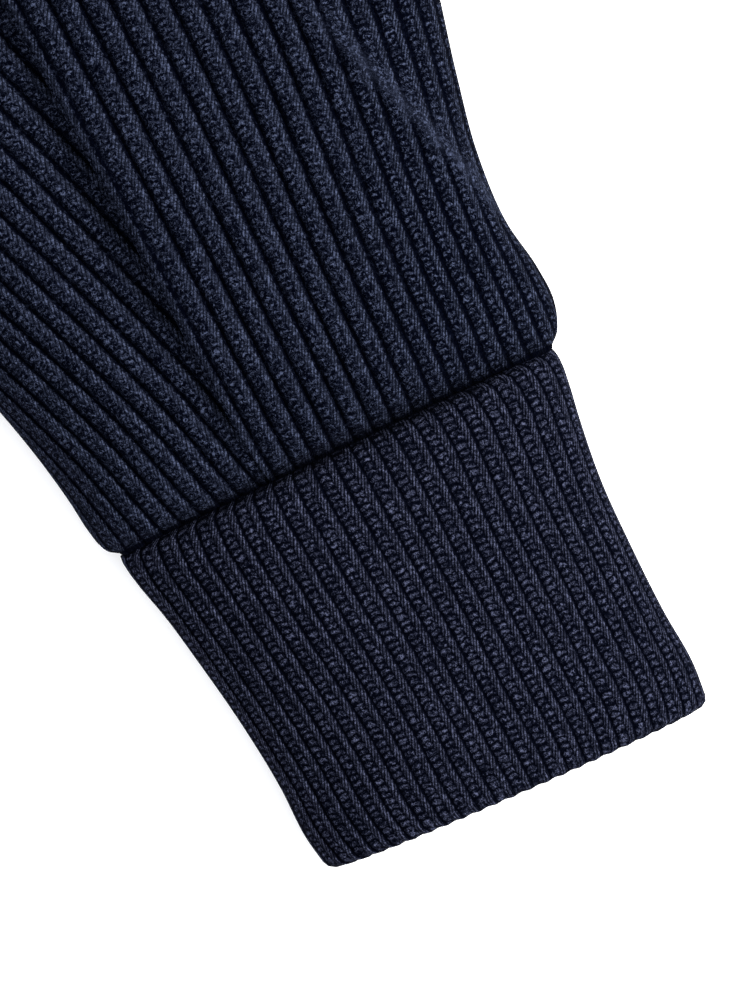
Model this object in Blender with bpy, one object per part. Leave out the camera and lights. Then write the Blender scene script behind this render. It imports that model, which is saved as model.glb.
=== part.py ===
# Ribbed knit jacket laid flat and face up: the fronts lie on the back, the sleeves hang beside it.
# It is drawn in millimetres with the hem at y = 0 and the centre front at x = 0,
# then moved so that the middle of its underside is the origin.

import math

import bmesh
import bpy
import numpy as np

MM = 0.001
GAP = 0.3

# Driving sizes
BODY_HALF = 275.0
HEM_SEAM_HALF = 257.0
HEM_HALF = 251.0
HEM_HEIGHT = 70.0
UNDERARM_Y = 420.0
ARMHOLE_HALF = 234.0
ARMHOLE_BEND_Y = 540.0
SHOULDER_Y = 636.0
NECK_HALF = 85.0
NECK_SIDE_Y = 680.0
FRONT_NECK_Y = 605.0
BACK_NECK_Y = 665.0
COLLAR_HEIGHT = 36.0
BAND_HALF = 15.0
SLEEVE_SEAM_X = 475.6
SLEEVE_SEAM_Y = 133.0
SLEEVE_LEAN = math.radians(28.7)

# Cloth: wall thickness, and how far the ribs stand out of it
KNIT_WALL = 3.0
BAND_WALL = 3.4
CUFF_WALL = 5.4
KNIT_RISE = 1.3
BAND_RISE = 0.9
KNIT_PITCH = 6.0
BAND_PITCH = 4.4
CUFF_RIBS = 24
EDGE_KEY = 1000
MOST_HALF_RIBS = 80
EDGE_MARGIN = 1.4
EDGE_DROP = 1.0
INNER_SHARES = (0.0, 0.06, 0.12, 0.25, 0.4, 0.55, 0.7, 0.85, 1.0)

# Buttons
BUTTON_COUNT = 5
BUTTON_RADIUS = 9.0
BUTTON_THICK = 2.6
BUTTON_HOLE_RADIUS = 1.1
BUTTON_HOLE_REACH = 2.6
FIRST_BUTTON_Y = 35.0
LAST_BUTTON_Y = 590.0

# Sleeve sections, in millimetres up the sleeve from the cuff seam and across from its axis:
# left up, left across, right up, right across, height of the crown, height of the widest line,
# and how far the hollow stays inside the left edge, which is long where the armhole is cut
SLEEVE_SECTIONS = (
    (3.2, -52.6, -2.2, 52.6, 19.5, 8.5, 4.5),
    (5.6, -55.4, 0.8, 55.6, 24.5, 8.5, 4.5),
    (10.0, -56.6, 5.0, 57.6, 29.0, 8.5, 4.5),
    (18.0, -57.2, 14.0, 58.0, 31.5, 8.0, 4.5),
    (28.0, -58.4, 26.0, 56.8, 32.0, 8.0, 4.5),
    (42.0, -61.0, 42.0, 58.4, 31.5, 7.5, 4.5),
    (60.0, -65.5, 60.0, 62.8, 30.0, 7.5, 4.5),
    (80.0, -70.5, 80.0, 68.6, 28.0, 7.0, 4.5),
    (110.0, -75.0, 112.0, 76.0, 25.5, 7.0, 4.5),
    (150.0, -77.5, 156.0, 83.0, 22.0, 6.5, 4.5),
    (200.0, -76.0, 212.0, 89.0, 18.5, 6.0, 5.0),
    (250.0, -68.5, 275.0, 92.0, 15.0, 5.5, 6.0),
    (295.0, -56.5, 345.0, 87.5, 12.0, 5.0, 9.0),
    (325.0, -46.5, 410.0, 77.5, 9.8, 4.5, 18.0),
    (345.3, -36.7, 480.0, 62.0, 8.2, 4.0, 32.0),
)
ARMHOLE_CROWN = 7.2
ARMHOLE_WIDEST = 3.6
ARMHOLE_INSET = 45.0
UNDERARM_EASE = 1.8

# Cuff sections: up at the middle, tilt across, left, right, height of the crown, widest line
CUFF_SECTIONS = (
    (-0.2, -0.053, -52.3, 52.3, 18.6, 7.5),
    (-3.0, -0.055, -52.0, 52.6, 22.0, 7.5),
    (-8.0, -0.058, -51.0, 52.0, 24.0, 7.0),
    (-16.0, -0.062, -49.4, 50.3, 25.0, 7.0),
    (-30.0, -0.070, -47.8, 47.7, 25.0, 7.0),
    (-46.0, -0.078, -46.8, 46.5, 24.5, 7.0),
    (-62.0, -0.086, -46.4, 45.7, 23.5, 7.0),
    (-76.0, -0.094, -46.1, 45.4, 22.0, 7.0),
    (-81.5, -0.098, -44.6, 44.2, 20.5, 7.0),
)
CUFF_FOLD_REACH = 2.4
CUFF_FOLD_INSET = 2.4

# The crease down the sleeve: mm up the sleeve, depth of the step, ribs hidden under its lip
CREASE_ACROSS = -17.0
CREASE_TABLE = (
    (0.0, 0.0, 6.2),
    (10.0, 1.2, 5.8),
    (25.0, 3.6, 5.2),
    (60.0, 5.6, 3.4),
    (110.0, 4.6, 1.0),
    (150.0, 2.4, 0.0),
    (190.0, 0.0, 0.0),
    (600.0, 0.0, 0.0),
)
CREASE_REACH = 15.0
CREASE_LIP = 0.7
CREASE_LOW_KEY = -0.6
CREASE_LIP_KEY = -0.3

# Rib pitch up the sleeve: mm up, pitch
PITCH_TABLE = ((0.0, 4.7), (40.0, 5.1), (80.0, 5.6), (130.0, 6.0), (600.0, 6.0))

# Soft dents and ridges on the sleeve: up, across, reach up, reach across, height
SLEEVE_SWELLS = (
    (22.0, 25.0, 7.0, 20.0, -1.8),
    (16.0, -20.0, 7.0, 12.0, -1.6),
    (85.0, 50.0, 40.0, 9.0, 2.2),
    (190.0, 30.0, 60.0, 14.0, 1.6),
    (260.0, -25.0, 30.0, 22.0, -1.6),
)

# Soft waves over each front: x, y, reach x, reach y, height
FRONT_SWELLS = (
    (225.0, 330.0, 22.0, 120.0, 2.4),
    (120.0, 180.0, 30.0, 110.0, 1.6),
    (190.0, 110.0, 26.0, 50.0, 2.2),
    (90.0, 480.0, 36.0, 90.0, 1.4),
)

HEM_ROWS = (0.0, 3.0, 35.0, 66.0, HEM_HEIGHT)
BODY_ROWS = (70.3, 76.0, 92.0, 180.0, 300.0, 420.0)
ARMHOLE_ROWS = (420.0, 440.0, 465.0, 495.0, 540.0, 605.0, 636.0)
NECK_ROWS = (608.0, 618.0, 636.0, 652.0, 666.0, 678.0)

NAVY = (0.012, 0.016, 0.034)
BUTTON_NAVY = (0.010, 0.012, 0.022)


def column(table, index):
    return [row[index] for row in table]


def read(table, at, index):
    return float(np.interp(at, column(table, 0), column(table, index)))


def swell(swells, u, v):
    total = 0.0
    for at_u, at_v, reach_u, reach_v, height in swells:
        total += height * math.exp(-(((u - at_u) / reach_u) ** 2) - ((v - at_v) / reach_v) ** 2)
    return total


# Outlines of the body

def armhole_x(y):
    below = max(0.0, (ARMHOLE_BEND_Y - y) / (ARMHOLE_BEND_Y - UNDERARM_Y))
    return ARMHOLE_HALF + (BODY_HALF - ARMHOLE_HALF) * below**2


def armhole_edge(y):
    return float(np.interp(y, ARMHOLE_ROWS, [armhole_x(row) for row in ARMHOLE_ROWS]))


def side_x(y):
    bloused = 1.0 - math.exp(-(y - HEM_HEIGHT) / 9.0)
    tapered = 268.0 + (BODY_HALF - 268.0) * (y - HEM_HEIGHT) / (UNDERARM_Y - HEM_HEIGHT)
    return HEM_SEAM_HALF + (tapered - HEM_SEAM_HALF) * bloused


def shoulder_x(y):
    return NECK_HALF + (NECK_SIDE_Y - y) / (NECK_SIDE_Y - SHOULDER_Y) * (ARMHOLE_HALF - NECK_HALF)


def outer_x(y):
    if y <= UNDERARM_Y:
        return side_x(y)
    if y <= SHOULDER_Y:
        return armhole_edge(y)
    return shoulder_x(y)


def front_neck_y(x):
    return FRONT_NECK_Y + (NECK_SIDE_Y - FRONT_NECK_Y) * (abs(x) / NECK_HALF) ** 2.2


def back_neck_y(x):
    return BACK_NECK_Y + (NECK_SIDE_Y - BACK_NECK_Y) * (abs(x) / NECK_HALF) ** 2


def inner_x(y):
    edge = BAND_HALF + GAP
    if y <= FRONT_NECK_Y:
        return edge
    across = NECK_HALF * ((y - FRONT_NECK_Y) / (NECK_SIDE_Y - FRONT_NECK_Y)) ** (1 / 2.2)
    return max(edge, across + GAP)


def front_neck_edge(x):
    # The front's neck edge as its rows draw it.
    rows = (FRONT_NECK_Y,) + NECK_ROWS + (NECK_SIDE_Y,)
    return float(np.interp(x, [inner_x(y) for y in rows], rows)) + GAP


def hem_x(y):
    return HEM_HALF + (HEM_SEAM_HALF - HEM_HALF) * (y / HEM_HEIGHT) ** 3


def layer_rise(x):
    # The wearer's left front climbs over the right band.
    near = min(1.0, max(0.0, (x - BAND_HALF) / 30.0))
    return (BAND_WALL + GAP) * (1.0 - near * near * (3.0 - 2.0 * near))


# Meshes from strips: a strip is a list of (key, share across, vertex), left to right

def new_strip(mesh, points):
    return [(key, share, mesh.verts.new([c * MM for c in point])) for key, share, point in points]


def add_face(mesh, corners):
    loop = []
    for corner in corners:
        if corner not in loop:
            loop.append(corner)
    if len(loop) > 2:
        mesh.faces.new(loop)


def bridge(mesh, low, high, by=0):
    # Joins two strips whose points need not match: equal keys face each other.
    i = 0
    j = 0
    while i < len(low) - 1 or j < len(high) - 1:
        next_low = low[i + 1][by] if i < len(low) - 1 else math.inf
        next_high = high[j + 1][by] if j < len(high) - 1 else math.inf
        if abs(next_low - next_high) < 1e-6:
            add_face(mesh, (low[i][2], low[i + 1][2], high[j + 1][2]))
            add_face(mesh, (low[i][2], high[j + 1][2], high[j][2]))
            i += 1
            j += 1
        elif next_low < next_high:
            add_face(mesh, (low[i][2], low[i + 1][2], high[j][2]))
            i += 1
        else:
            add_face(mesh, (low[i][2], high[j + 1][2], high[j][2]))
            j += 1


def finish_mesh(name, mesh, material, collection):
    bmesh.ops.recalc_face_normals(mesh, faces=mesh.faces)
    data = bpy.data.meshes.new(name)
    mesh.to_mesh(data)
    mesh.free()
    data.materials.append(material)
    obj = bpy.data.objects.new(name, data)
    collection.objects.link(obj)
    return obj


def tube_solid(name, outer_rows, inner_rows, material, collection):
    # Each row is an upper and a lower line of points that share their two ends.
    mesh = bmesh.new()
    shells = []
    for rows in (outer_rows, inner_rows):
        shell = []
        for upper, lower in rows:
            top = new_strip(mesh, upper)
            middle = new_strip(mesh, lower[1:-1])
            shell.append((top, [(lower[0][0], 0.0, top[0][2])] + middle + [(lower[-1][0], 1.0, top[-1][2])]))
        for first, second in zip(shell, shell[1:]):
            bridge(mesh, first[0], second[0])
            bridge(mesh, first[1], second[1])
        shells.append(shell)
    for end in (0, -1):
        bridge(mesh, shells[0][end][0], shells[1][end][0], by=1)
        bridge(mesh, shells[0][end][1], shells[1][end][1], by=1)
    return finish_mesh(name, mesh, material, collection)


def wall_solid(name, outer_rows, inner_rows, material, collection):
    mesh = bmesh.new()
    outer = [new_strip(mesh, row) for row in outer_rows]
    inner = [new_strip(mesh, row) for row in inner_rows]
    for rows in (outer, inner):
        for first, second in zip(rows, rows[1:]):
            bridge(mesh, first, second)
    for end in (0, -1):
        bridge(mesh, outer[end], inner[end], by=1)
        for k in range(len(outer) - 1):
            corners = (outer[k][end][2], outer[k + 1][end][2], inner[k + 1][end][2], inner[k][end][2])
            add_face(mesh, corners[:3])
            add_face(mesh, (corners[0], corners[2], corners[3]))
    return finish_mesh(name, mesh, material, collection)


def plate_solid(name, outline, low, high, material, collection):
    mesh = bmesh.new()
    base = mesh.faces.new([mesh.verts.new((x * MM, y * MM, low * MM)) for x, y in outline])
    lifted = bmesh.ops.extrude_face_region(mesh, geom=[base])["geom"]
    for item in lifted:
        if isinstance(item, bmesh.types.BMVert):
            item.co.z = high * MM
    return finish_mesh(name, mesh, material, collection)


# Sleeve and cuff tubes

def sleeve_xy(up, across):
    x = SLEEVE_SEAM_X - math.sin(SLEEVE_LEAN) * up + math.cos(SLEEVE_LEAN) * across
    y = SLEEVE_SEAM_Y + math.cos(SLEEVE_LEAN) * up + math.sin(SLEEVE_LEAN) * across
    return x, y


def sleeve_up_across(x, y):
    dx = x - SLEEVE_SEAM_X
    dy = y - SLEEVE_SEAM_Y
    up = -math.sin(SLEEVE_LEAN) * dx + math.cos(SLEEVE_LEAN) * dy
    across = math.cos(SLEEVE_LEAN) * dx + math.sin(SLEEVE_LEAN) * dy
    return up, across


class Section:
    # One line across a sleeve or cuff, with the heights of the flattened tube over it.

    def __init__(self, line, crown, widest, wall, roundness, inset):
        self.line = np.array(line, float)
        steps = np.hypot(*np.diff(self.line, axis=0).T)
        self.length = float(steps.sum())
        self.shares = np.concatenate([[0.0], np.cumsum(steps)]) / self.length
        self.crown = crown
        self.widest = widest
        self.wall = wall
        self.roundness = roundness
        self.inset = inset

    def at(self, share):
        up = float(np.interp(share, self.shares, self.line[:, 0]))
        across = float(np.interp(share, self.shares, self.line[:, 1]))
        return up, across

    def top(self, share):
        rise = 1.0 - min(1.0, abs(2.0 * share - 1.0)) ** self.roundness
        return self.widest + (self.crown - self.widest) * rise ** (1.0 / self.roundness)

    def point(self, share, height):
        x, y = sleeve_xy(*self.at(share))
        return (x, y, height)

    def arc(self):
        # Distance across the ribs, along the curved top, at many shares.
        shares = np.linspace(0.0, 1.0, 241)
        across = np.interp(shares, self.shares, self.line[:, 1])
        heights = np.array([self.top(share) for share in shares])
        steps = np.hypot(np.maximum(np.diff(across), 0.0), np.diff(heights))
        return shares, np.concatenate([[0.0], np.cumsum(steps)])

    def lower(self):
        points = [(0, 0.0, None)]
        for key, away in ((1, 1.2), (2, 4.0), (3, 9.0)):
            points.append((key, away / self.length, self.underside(away)))
        points.append((4, 0.5, 0.0))
        for key, away in ((5, 9.0), (6, 4.0), (7, 1.2)):
            points.append((key, 1.0 - away / self.length, self.underside(away)))
        points.append((8, 1.0, None))
        return [(key, share, self.point(share, height or 0.0)) for key, share, height in points]

    def underside(self, away):
        inside = max(0.0, 1.0 - away / 9.0)
        return self.widest * (1.0 - math.sqrt(1.0 - inside**2))

    def inner(self, drop):
        # Plain inside: a roof below the top by the wall, and a floor above the underside.
        start = self.inset / self.length
        end = 1.0 - (self.wall + 1.5) / self.length
        low = self.wall * 0.87
        high = self.crown - self.wall
        middle = min(self.widest, (low + high) / 2.0)
        roof = []
        for key, part in enumerate((0.0, 0.05, 0.17, 0.33, 0.5, 0.67, 0.83, 0.95, 1.0)):
            share = start + part * (end - start)
            rise = (1.0 - abs(2.0 * part - 1.0) ** self.roundness) ** (1.0 / self.roundness)
            height = middle + (high - middle) * rise
            height = max(middle, height - drop(*self.at(share)))
            roof.append((key, share, self.point(share, height)))
        floor = []
        away = 7.0 / self.length
        for key, share in enumerate((start, start + away, 0.5, end - away, end)):
            floor.append((key, share, self.point(share, low)))
        return roof, floor


def swap_mirror(points, mirrored):
    if not mirrored:
        return points
    return [(key, share, (-x, y, z)) for key, share, (x, y, z) in points]


def crease_drop(up, across):
    depth = read(CREASE_TABLE, up, 1)
    away = across - CREASE_ACROSS
    if away < 0.0:
        return depth * math.exp(-((away / CREASE_REACH) ** 2))
    return -0.25 * depth * math.exp(-((away / CREASE_REACH) ** 2))


def wide_drop(up, across):
    # The plain inside follows the crease and dents as soft troughs.
    depth = read(CREASE_TABLE, up, 1)
    away = across - CREASE_ACROSS
    trough = 1.15 * depth * math.exp(-((away / (CREASE_REACH * 1.2)) ** 2))
    return trough - min(0.0, swell(SLEEVE_SWELLS, up, across)) * 1.1


def sleeve_top(section):
    shares, arc = section.arc()
    across = np.interp(shares, section.shares, section.line[:, 1])
    crease = float(np.interp(CREASE_ACROSS, np.maximum.accumulate(across), shares))
    arc = arc - float(np.interp(crease, shares, arc))
    up = section.at(crease)[0]
    pitch = read(PITCH_TABLE, up, 1)
    hidden = read(CREASE_TABLE, up, 2)
    depth = read(CREASE_TABLE, up, 1)
    points = []

    def add(key, share, rise):
        at_up, at_across = section.at(share)
        fade = min(1.0, share * section.length / 8.0, (1.0 - share) * section.length / 8.0)
        height = section.top(share) - crease_drop(at_up, at_across)
        height += fade * swell(SLEEVE_SWELLS, at_up, at_across) + rise
        points.append((key, share, section.point(share, height)))

    margin = EDGE_MARGIN / section.length
    add(-EDGE_KEY, 0.0, 0.0)
    for half in range(-MOST_HALF_RIBS, MOST_HALF_RIBS):
        if half == 0:
            if depth > 0.0:
                lip = CREASE_LIP / section.length
                add(CREASE_LOW_KEY, crease - lip, 0.0)
                add(CREASE_LIP_KEY, crease + lip, KNIT_RISE * 0.7)
            else:
                add(0, crease, KNIT_RISE)
            continue
        ribs = half / 2.0 + (hidden if half < 0 else 0.0)
        if half < 0 and ribs > -0.45:
            continue
        if not arc[0] < ribs * pitch < arc[-1]:
            continue
        share = float(np.interp(ribs * pitch, arc, shares))
        if margin < share < 1.0 - margin:
            edge_fade = min(1.0, share * section.length / 6.0, (1.0 - share) * section.length / 6.0)
            add(half, share, KNIT_RISE * edge_fade if half % 2 == 0 else 0.0)
    add(EDGE_KEY, 1.0, 0.0)
    return points


def sleeve_sections():
    sections = []
    for left_up, left, right_up, right, crown, widest, inset in SLEEVE_SECTIONS:
        line = [(left_up, left), ((left_up + right_up) / 2.0, (left + right) / 2.0), (right_up, right)]
        roundness = float(np.interp(crown, (8.0, 25.0), (2.8, 2.1)))
        sections.append(Section(line, crown, widest, KNIT_WALL, roundness, inset))
    line = []
    for y in ARMHOLE_ROWS:
        ease = UNDERARM_EASE if y == UNDERARM_Y else 0.0
        line.append(sleeve_up_across(armhole_edge(y) + GAP + ease, y))
    sections.append(Section(line, ARMHOLE_CROWN, ARMHOLE_WIDEST, KNIT_WALL, 2.8, ARMHOLE_INSET))
    return sections


def build_sleeve(name, mirrored, material, collection):
    outer = []
    inner = []
    for section in sleeve_sections():
        upper = swap_mirror(sleeve_top(section), mirrored)
        outer.append((upper, swap_mirror(section.lower(), mirrored)))
        roof, floor = section.inner(wide_drop)
        inner.append((swap_mirror(roof, mirrored), swap_mirror(floor, mirrored)))
    return tube_solid(name, outer, inner, material, collection)


def cuff_section(row):
    middle, tilt, left, right, crown, widest = row
    line = [(middle + tilt * left, left), (middle + tilt * right, right)]
    return Section(line, crown, widest, CUFF_WALL, 2.1, CUFF_WALL + 1.5)


def cuff_top(section, rise):
    shares, arc = section.arc()
    points = [(0, 0.0, section.point(0.0, section.widest))]
    for key in range(1, 2 * CUFF_RIBS):
        share = float(np.interp(arc[-1] * key / (2.0 * CUFF_RIBS), arc, shares))
        height = section.top(share) + (rise if key % 2 else 0.0)
        points.append((key, share, section.point(share, height)))
    points.append((2 * CUFF_RIBS, 1.0, section.point(1.0, section.widest)))
    return points


def cuff_fold(section, upper, lower):
    # The turned lower edge: the last row goes half a wall inwards and a little further down.
    fold = []
    scale = 1.0 - 2.0 * CUFF_FOLD_INSET / section.length
    for strip, step in ((upper, -1.0), (lower, 1.0)):
        moved = []
        for key, share, point in strip:
            up, across = section.at(0.5 + (share - 0.5) * scale)
            groove = 0.0 if key % 2 or step > 0.0 else 0.5
            x, y = sleeve_xy(up - CUFF_FOLD_REACH + groove, across)
            moved.append((key, share, (x, y, point[2] + step * CUFF_WALL / 2.0)))
        fold.append(moved)
    for end in (0, -1):
        key, share, point = fold[0][end]
        fold[0][end] = (key, share, (point[0], point[1], section.widest))
    return fold[0], fold[1]


def build_cuff(name, mirrored, material, collection):
    outer = []
    inner = []
    for row in CUFF_SECTIONS:
        section = cuff_section(row)
        upper = cuff_top(section, BAND_RISE)
        lower = section.lower()
        outer.append((swap_mirror(upper, mirrored), swap_mirror(lower, mirrored)))
        roof, floor = section.inner(lambda up, across: 0.0)
        inner.append((swap_mirror(roof, mirrored), swap_mirror(floor, mirrored)))
    upper, lower = cuff_fold(section, upper, lower)
    outer.append((swap_mirror(upper, mirrored), swap_mirror(lower, mirrored)))
    return tube_solid(name, outer, inner, material, collection)


# Body panels

def ribbed_rows(rows, left, right, pitch, rise, low, wall, sign):
    # Rows of a front: the ribs run along y, and each row holds the ribs that lie inside it.
    outer = []
    inner = []
    for y in rows:
        start = left(y)
        end = right(y)
        length = end - start

        def at(x, height):
            return (sign * x, y, low(x, y) + height)

        upper = [(-EDGE_KEY, 0.0, at(start, wall))]
        first = math.ceil(2.0 * (start + EDGE_MARGIN) / pitch)
        last = math.floor(2.0 * (end - EDGE_MARGIN) / pitch)
        for half in range(first, last + 1):
            x = half * pitch / 2.0
            upper.append((half, (x - start) / length, at(x, wall + (rise if half % 2 == 0 else 0.0))))
        upper.append((EDGE_KEY, 1.0, at(end, wall - EDGE_DROP)))
        outer.append(upper)
        inner.append([(key, share, at(start + share * length, 0.0)) for key, share in enumerate(INNER_SHARES)])
    return outer, inner


def front_low(sign):
    def low(x, y):
        waves = swell(FRONT_SWELLS, x, y)
        near_edge = min(1.0, (outer_x(y) - x) / 30.0, max(0.0, (x - BAND_HALF) / 30.0))
        climb = layer_rise(x) if sign > 0 else 0.0
        return KNIT_WALL + GAP + climb + waves * max(0.0, near_edge)

    return low


def build_front(name, sign, material, collection):
    rows = BODY_ROWS + ARMHOLE_ROWS[1:-2] + NECK_ROWS
    rows = sorted(set(rows))
    parts = ribbed_rows(rows, inner_x, outer_x, KNIT_PITCH, KNIT_RISE, front_low(sign), KNIT_WALL, sign)
    return wall_solid(name, *parts, material, collection)


def build_hem_front(name, sign, material, collection):
    def low(x, y):
        climb = layer_rise(x) if sign > 0 else 0.0
        return KNIT_WALL + GAP + climb

    def left(y):
        return BAND_HALF + GAP

    parts = ribbed_rows(HEM_ROWS, left, hem_x, BAND_PITCH, BAND_RISE, low, BAND_WALL, sign)
    return wall_solid(name, *parts, material, collection)


def back_outline():
    right = [(outer_x(y), y) for y in BODY_ROWS + ARMHOLE_ROWS[1:]]
    right.append((NECK_HALF, NECK_SIDE_Y))
    neck = [(x, back_neck_y(x)) for x in (60.0, 30.0, 0.0, -30.0, -60.0)]
    left = [(-x, y) for x, y in reversed(right)]
    return right + neck + left


def hem_outline():
    right = [(hem_x(y), y) for y in HEM_ROWS]
    return right + [(-x, y) for x, y in reversed(right)]


def build_band(name, low, rise, material, collection):
    top = front_neck_y(BAND_HALF) + COLLAR_HEIGHT - 2.0
    rows = (0.0, 3.0, top / 2.0, top - 3.0, top)
    outer = []
    inner = []
    ribs = int(2 * BAND_HALF / BAND_PITCH)
    for y in rows:
        upper = [(-1, 0.0, (-BAND_HALF, y, low + BAND_WALL - 0.8))]
        for key in range(2 * ribs + 1):
            share = (key + 1) / (2.0 * ribs + 2.0)
            x = -BAND_HALF + share * 2.0 * BAND_HALF
            upper.append((key, share, (x, y, low + BAND_WALL + (rise if key % 2 == 0 else 0.0))))
        upper.append((EDGE_KEY, 1.0, (BAND_HALF, y, low + BAND_WALL - 0.8)))
        outer.append(upper)
        inner.append([(0, 0.0, (-BAND_HALF, y, low)), (1, 1.0, (BAND_HALF, y, low))])
    return wall_solid(name, outer, inner, material, collection)


# Collar: one strip from the right front over the back to the left front

def collar_path():
    # Distance along the strip, x, layer angle (90 faces up, -90 faces down), mid height.
    half = BAND_WALL / 2.0
    back = half
    turn = half + GAP / 2.0
    path = []
    span = NECK_HALF - BAND_HALF - GAP
    steps = 2 * int(span * 1.35 / BAND_PITCH)
    for k in range(steps + 1):
        path.append((-1, BAND_HALF + GAP + span * k / steps, 90.0, back + 2.0 * turn, k % 2))
    for angle in (54.0, 18.0, -18.0, -54.0):
        x = NECK_HALF + turn * math.cos(math.radians(angle))
        path.append((-1, x, angle, back + turn + turn * math.sin(math.radians(angle)), 0))
    for x in (85.0, 60.0, 30.0, 0.0):
        path.append((-1, x, -90.0, back, 0))
    mirrored = [(1, x, angle, height, ridge) for _, x, angle, height, ridge in reversed(path[:-1])]
    return path + mirrored


def collar_edges(side, x, angle):
    # The lower edge follows the neckline, the upper edge leans in over it.
    at = min(x, NECK_HALF)
    low = front_neck_edge(at) if angle == 90.0 else back_neck_y(at)
    if abs(angle) < 90.0:
        low = NECK_SIDE_Y
    lean = 0.42 * max(0.0, at - BAND_HALF - GAP) / (NECK_HALF - BAND_HALF)
    reach = COLLAR_HEIGHT
    upper = (side * (x - reach * lean), low + reach * math.sqrt(1.0 - lean**2))
    return (side * x, low + GAP + 0.2), upper


def build_collar(name, material, collection):
    half = BAND_WALL / 2.0
    strips = ([], [], [], [])
    path = collar_path()
    for key, (side, x, angle, height, ridge) in enumerate(path):
        low, high = collar_edges(side, x, angle)
        climb = layer_rise(x) if side > 0 and angle == 90.0 else 0.0
        turn = math.radians(angle)
        out = side * math.cos(turn)
        lift = math.sin(turn)
        share = key / (len(path) - 1.0)
        rise = BAND_RISE if ridge and angle == 90.0 else 0.0
        for strip, (edge_x, edge_y), reach in (
            (strips[0], low, half + rise),
            (strips[1], high, half + rise),
            (strips[2], high, -half),
            (strips[3], low, -half),
        ):
            place = (edge_x + out * reach, edge_y, height + climb + lift * reach)
            strip.append((key, share, place))
    mesh = bmesh.new()
    rows = [new_strip(mesh, strip) for strip in strips]
    for first, second in zip(rows, rows[1:] + rows[:1]):
        bridge(mesh, first, second)
    for end in (0, -1):
        corners = [row[end][2] for row in rows]
        add_face(mesh, corners[:3])
        add_face(mesh, (corners[0], corners[2], corners[3]))
    return finish_mesh(name, mesh, material, collection)


# Buttons

def build_button(name, y, low, material, collection, cutters):
    mesh = bmesh.new()
    profile = ((0.0, 0.0), (6.5, 0.0), (BUTTON_RADIUS, 0.9), (BUTTON_RADIUS, 1.9), (8.2, BUTTON_THICK))
    profile += ((7.0, BUTTON_THICK), (6.2, BUTTON_THICK - 0.7), (0.0, BUTTON_THICK - 0.7))
    sides = 20
    rings = []
    for radius, height in profile[1:-1]:
        ring = []
        for k in range(sides):
            turn = 2.0 * math.pi * k / sides
            place = (radius * math.cos(turn) * MM, (y + radius * math.sin(turn)) * MM, (low + height) * MM)
            ring.append(mesh.verts.new(place))
        rings.append(ring)
    for first, second in zip(rings, rings[1:]):
        for k in range(sides):
            after = (k + 1) % sides
            mesh.faces.new((first[k], first[after], second[after], second[k]))
    mesh.faces.new(rings[0])
    mesh.faces.new(rings[-1])
    button = finish_mesh(name, mesh, material, collection)
    holes = bmesh.new()
    for k in range(4):
        turn = math.pi / 4.0 + k * math.pi / 2.0
        made = bmesh.ops.create_cone(
            holes,
            cap_ends=True,
            segments=8,
            radius1=BUTTON_HOLE_RADIUS * MM,
            radius2=BUTTON_HOLE_RADIUS * MM,
            depth=4.0 * BUTTON_THICK * MM,
        )
        x = BUTTON_HOLE_REACH * math.cos(turn)
        centre = (x * MM, (y + BUTTON_HOLE_REACH * math.sin(turn)) * MM, low * MM)
        bmesh.ops.translate(holes, vec=centre, verts=made["verts"])
    cutter = finish_mesh(name + "_holes", holes, material, cutters)
    cutter.hide_render = True
    cutter.display_type = "WIRE"
    cut = button.modifiers.new("holes", "BOOLEAN")
    cut.operation = "DIFFERENCE"
    cut.object = cutter
    return button


# The garment

def principled(name, colour, roughness):
    material = bpy.data.materials.new(name)
    material.use_nodes = True
    shader = material.node_tree.nodes["Principled BSDF"]
    shader.inputs["Base Color"].default_value = (*colour, 1.0)
    shader.inputs["Roughness"].default_value = roughness
    shader.inputs["Metallic"].default_value = 0.0
    return material


def clear_scene():
    for obj in list(bpy.data.objects):
        bpy.data.objects.remove(obj, do_unlink=True)


def new_collection(name):
    collection = bpy.data.collections.new(name)
    bpy.context.scene.collection.children.link(collection)
    return collection


def move_to_origin(objects):
    highest = max(v.co.y for obj in objects for v in obj.data.vertices)
    for obj in objects:
        for vertex in obj.data.vertices:
            vertex.co.y -= highest / 2.0


def main():
    clear_scene()
    jacket = new_collection("ribbed_knit_jacket")
    cutters = new_collection("cutters")

    def knit(name):
        return principled(name, NAVY, 0.92)

    plate_solid("back", back_outline(), 0.0, KNIT_WALL, knit("back_knit"), jacket)
    plate_solid("hem_back", hem_outline(), 0.0, KNIT_WALL, knit("hem_back_rib"), jacket)
    for side, sign in (("right", -1), ("left", 1)):
        build_front("front_" + side, sign, knit(f"front_{side}_knit"), jacket)
        build_hem_front("hem_front_" + side, sign, knit(f"hem_{side}_rib"), jacket)
        build_sleeve("sleeve_" + side, sign < 0, knit(f"sleeve_{side}_knit"), jacket)
        build_cuff("cuff_" + side, sign < 0, knit(f"cuff_{side}_rib"), jacket)
    under = KNIT_WALL + GAP
    over = under + BAND_WALL + GAP
    build_band("band_right", under, 0.0, knit("band_right_rib"), jacket)
    build_band("band_left", over, BAND_RISE, knit("band_left_rib"), jacket)
    build_collar("collar", knit("collar_rib"), jacket)
    seat = over + BAND_WALL + BAND_RISE + GAP
    for k in range(BUTTON_COUNT):
        y = FIRST_BUTTON_Y + (LAST_BUTTON_Y - FIRST_BUTTON_Y) * k / (BUTTON_COUNT - 1.0)
        material = principled(f"button_{k + 1}_resin", BUTTON_NAVY, 0.35)
        build_button(f"button_{k + 1}", y, seat, material, jacket, cutters)
    move_to_origin(list(jacket.objects) + list(cutters.objects))


main()
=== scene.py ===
import math

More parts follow.
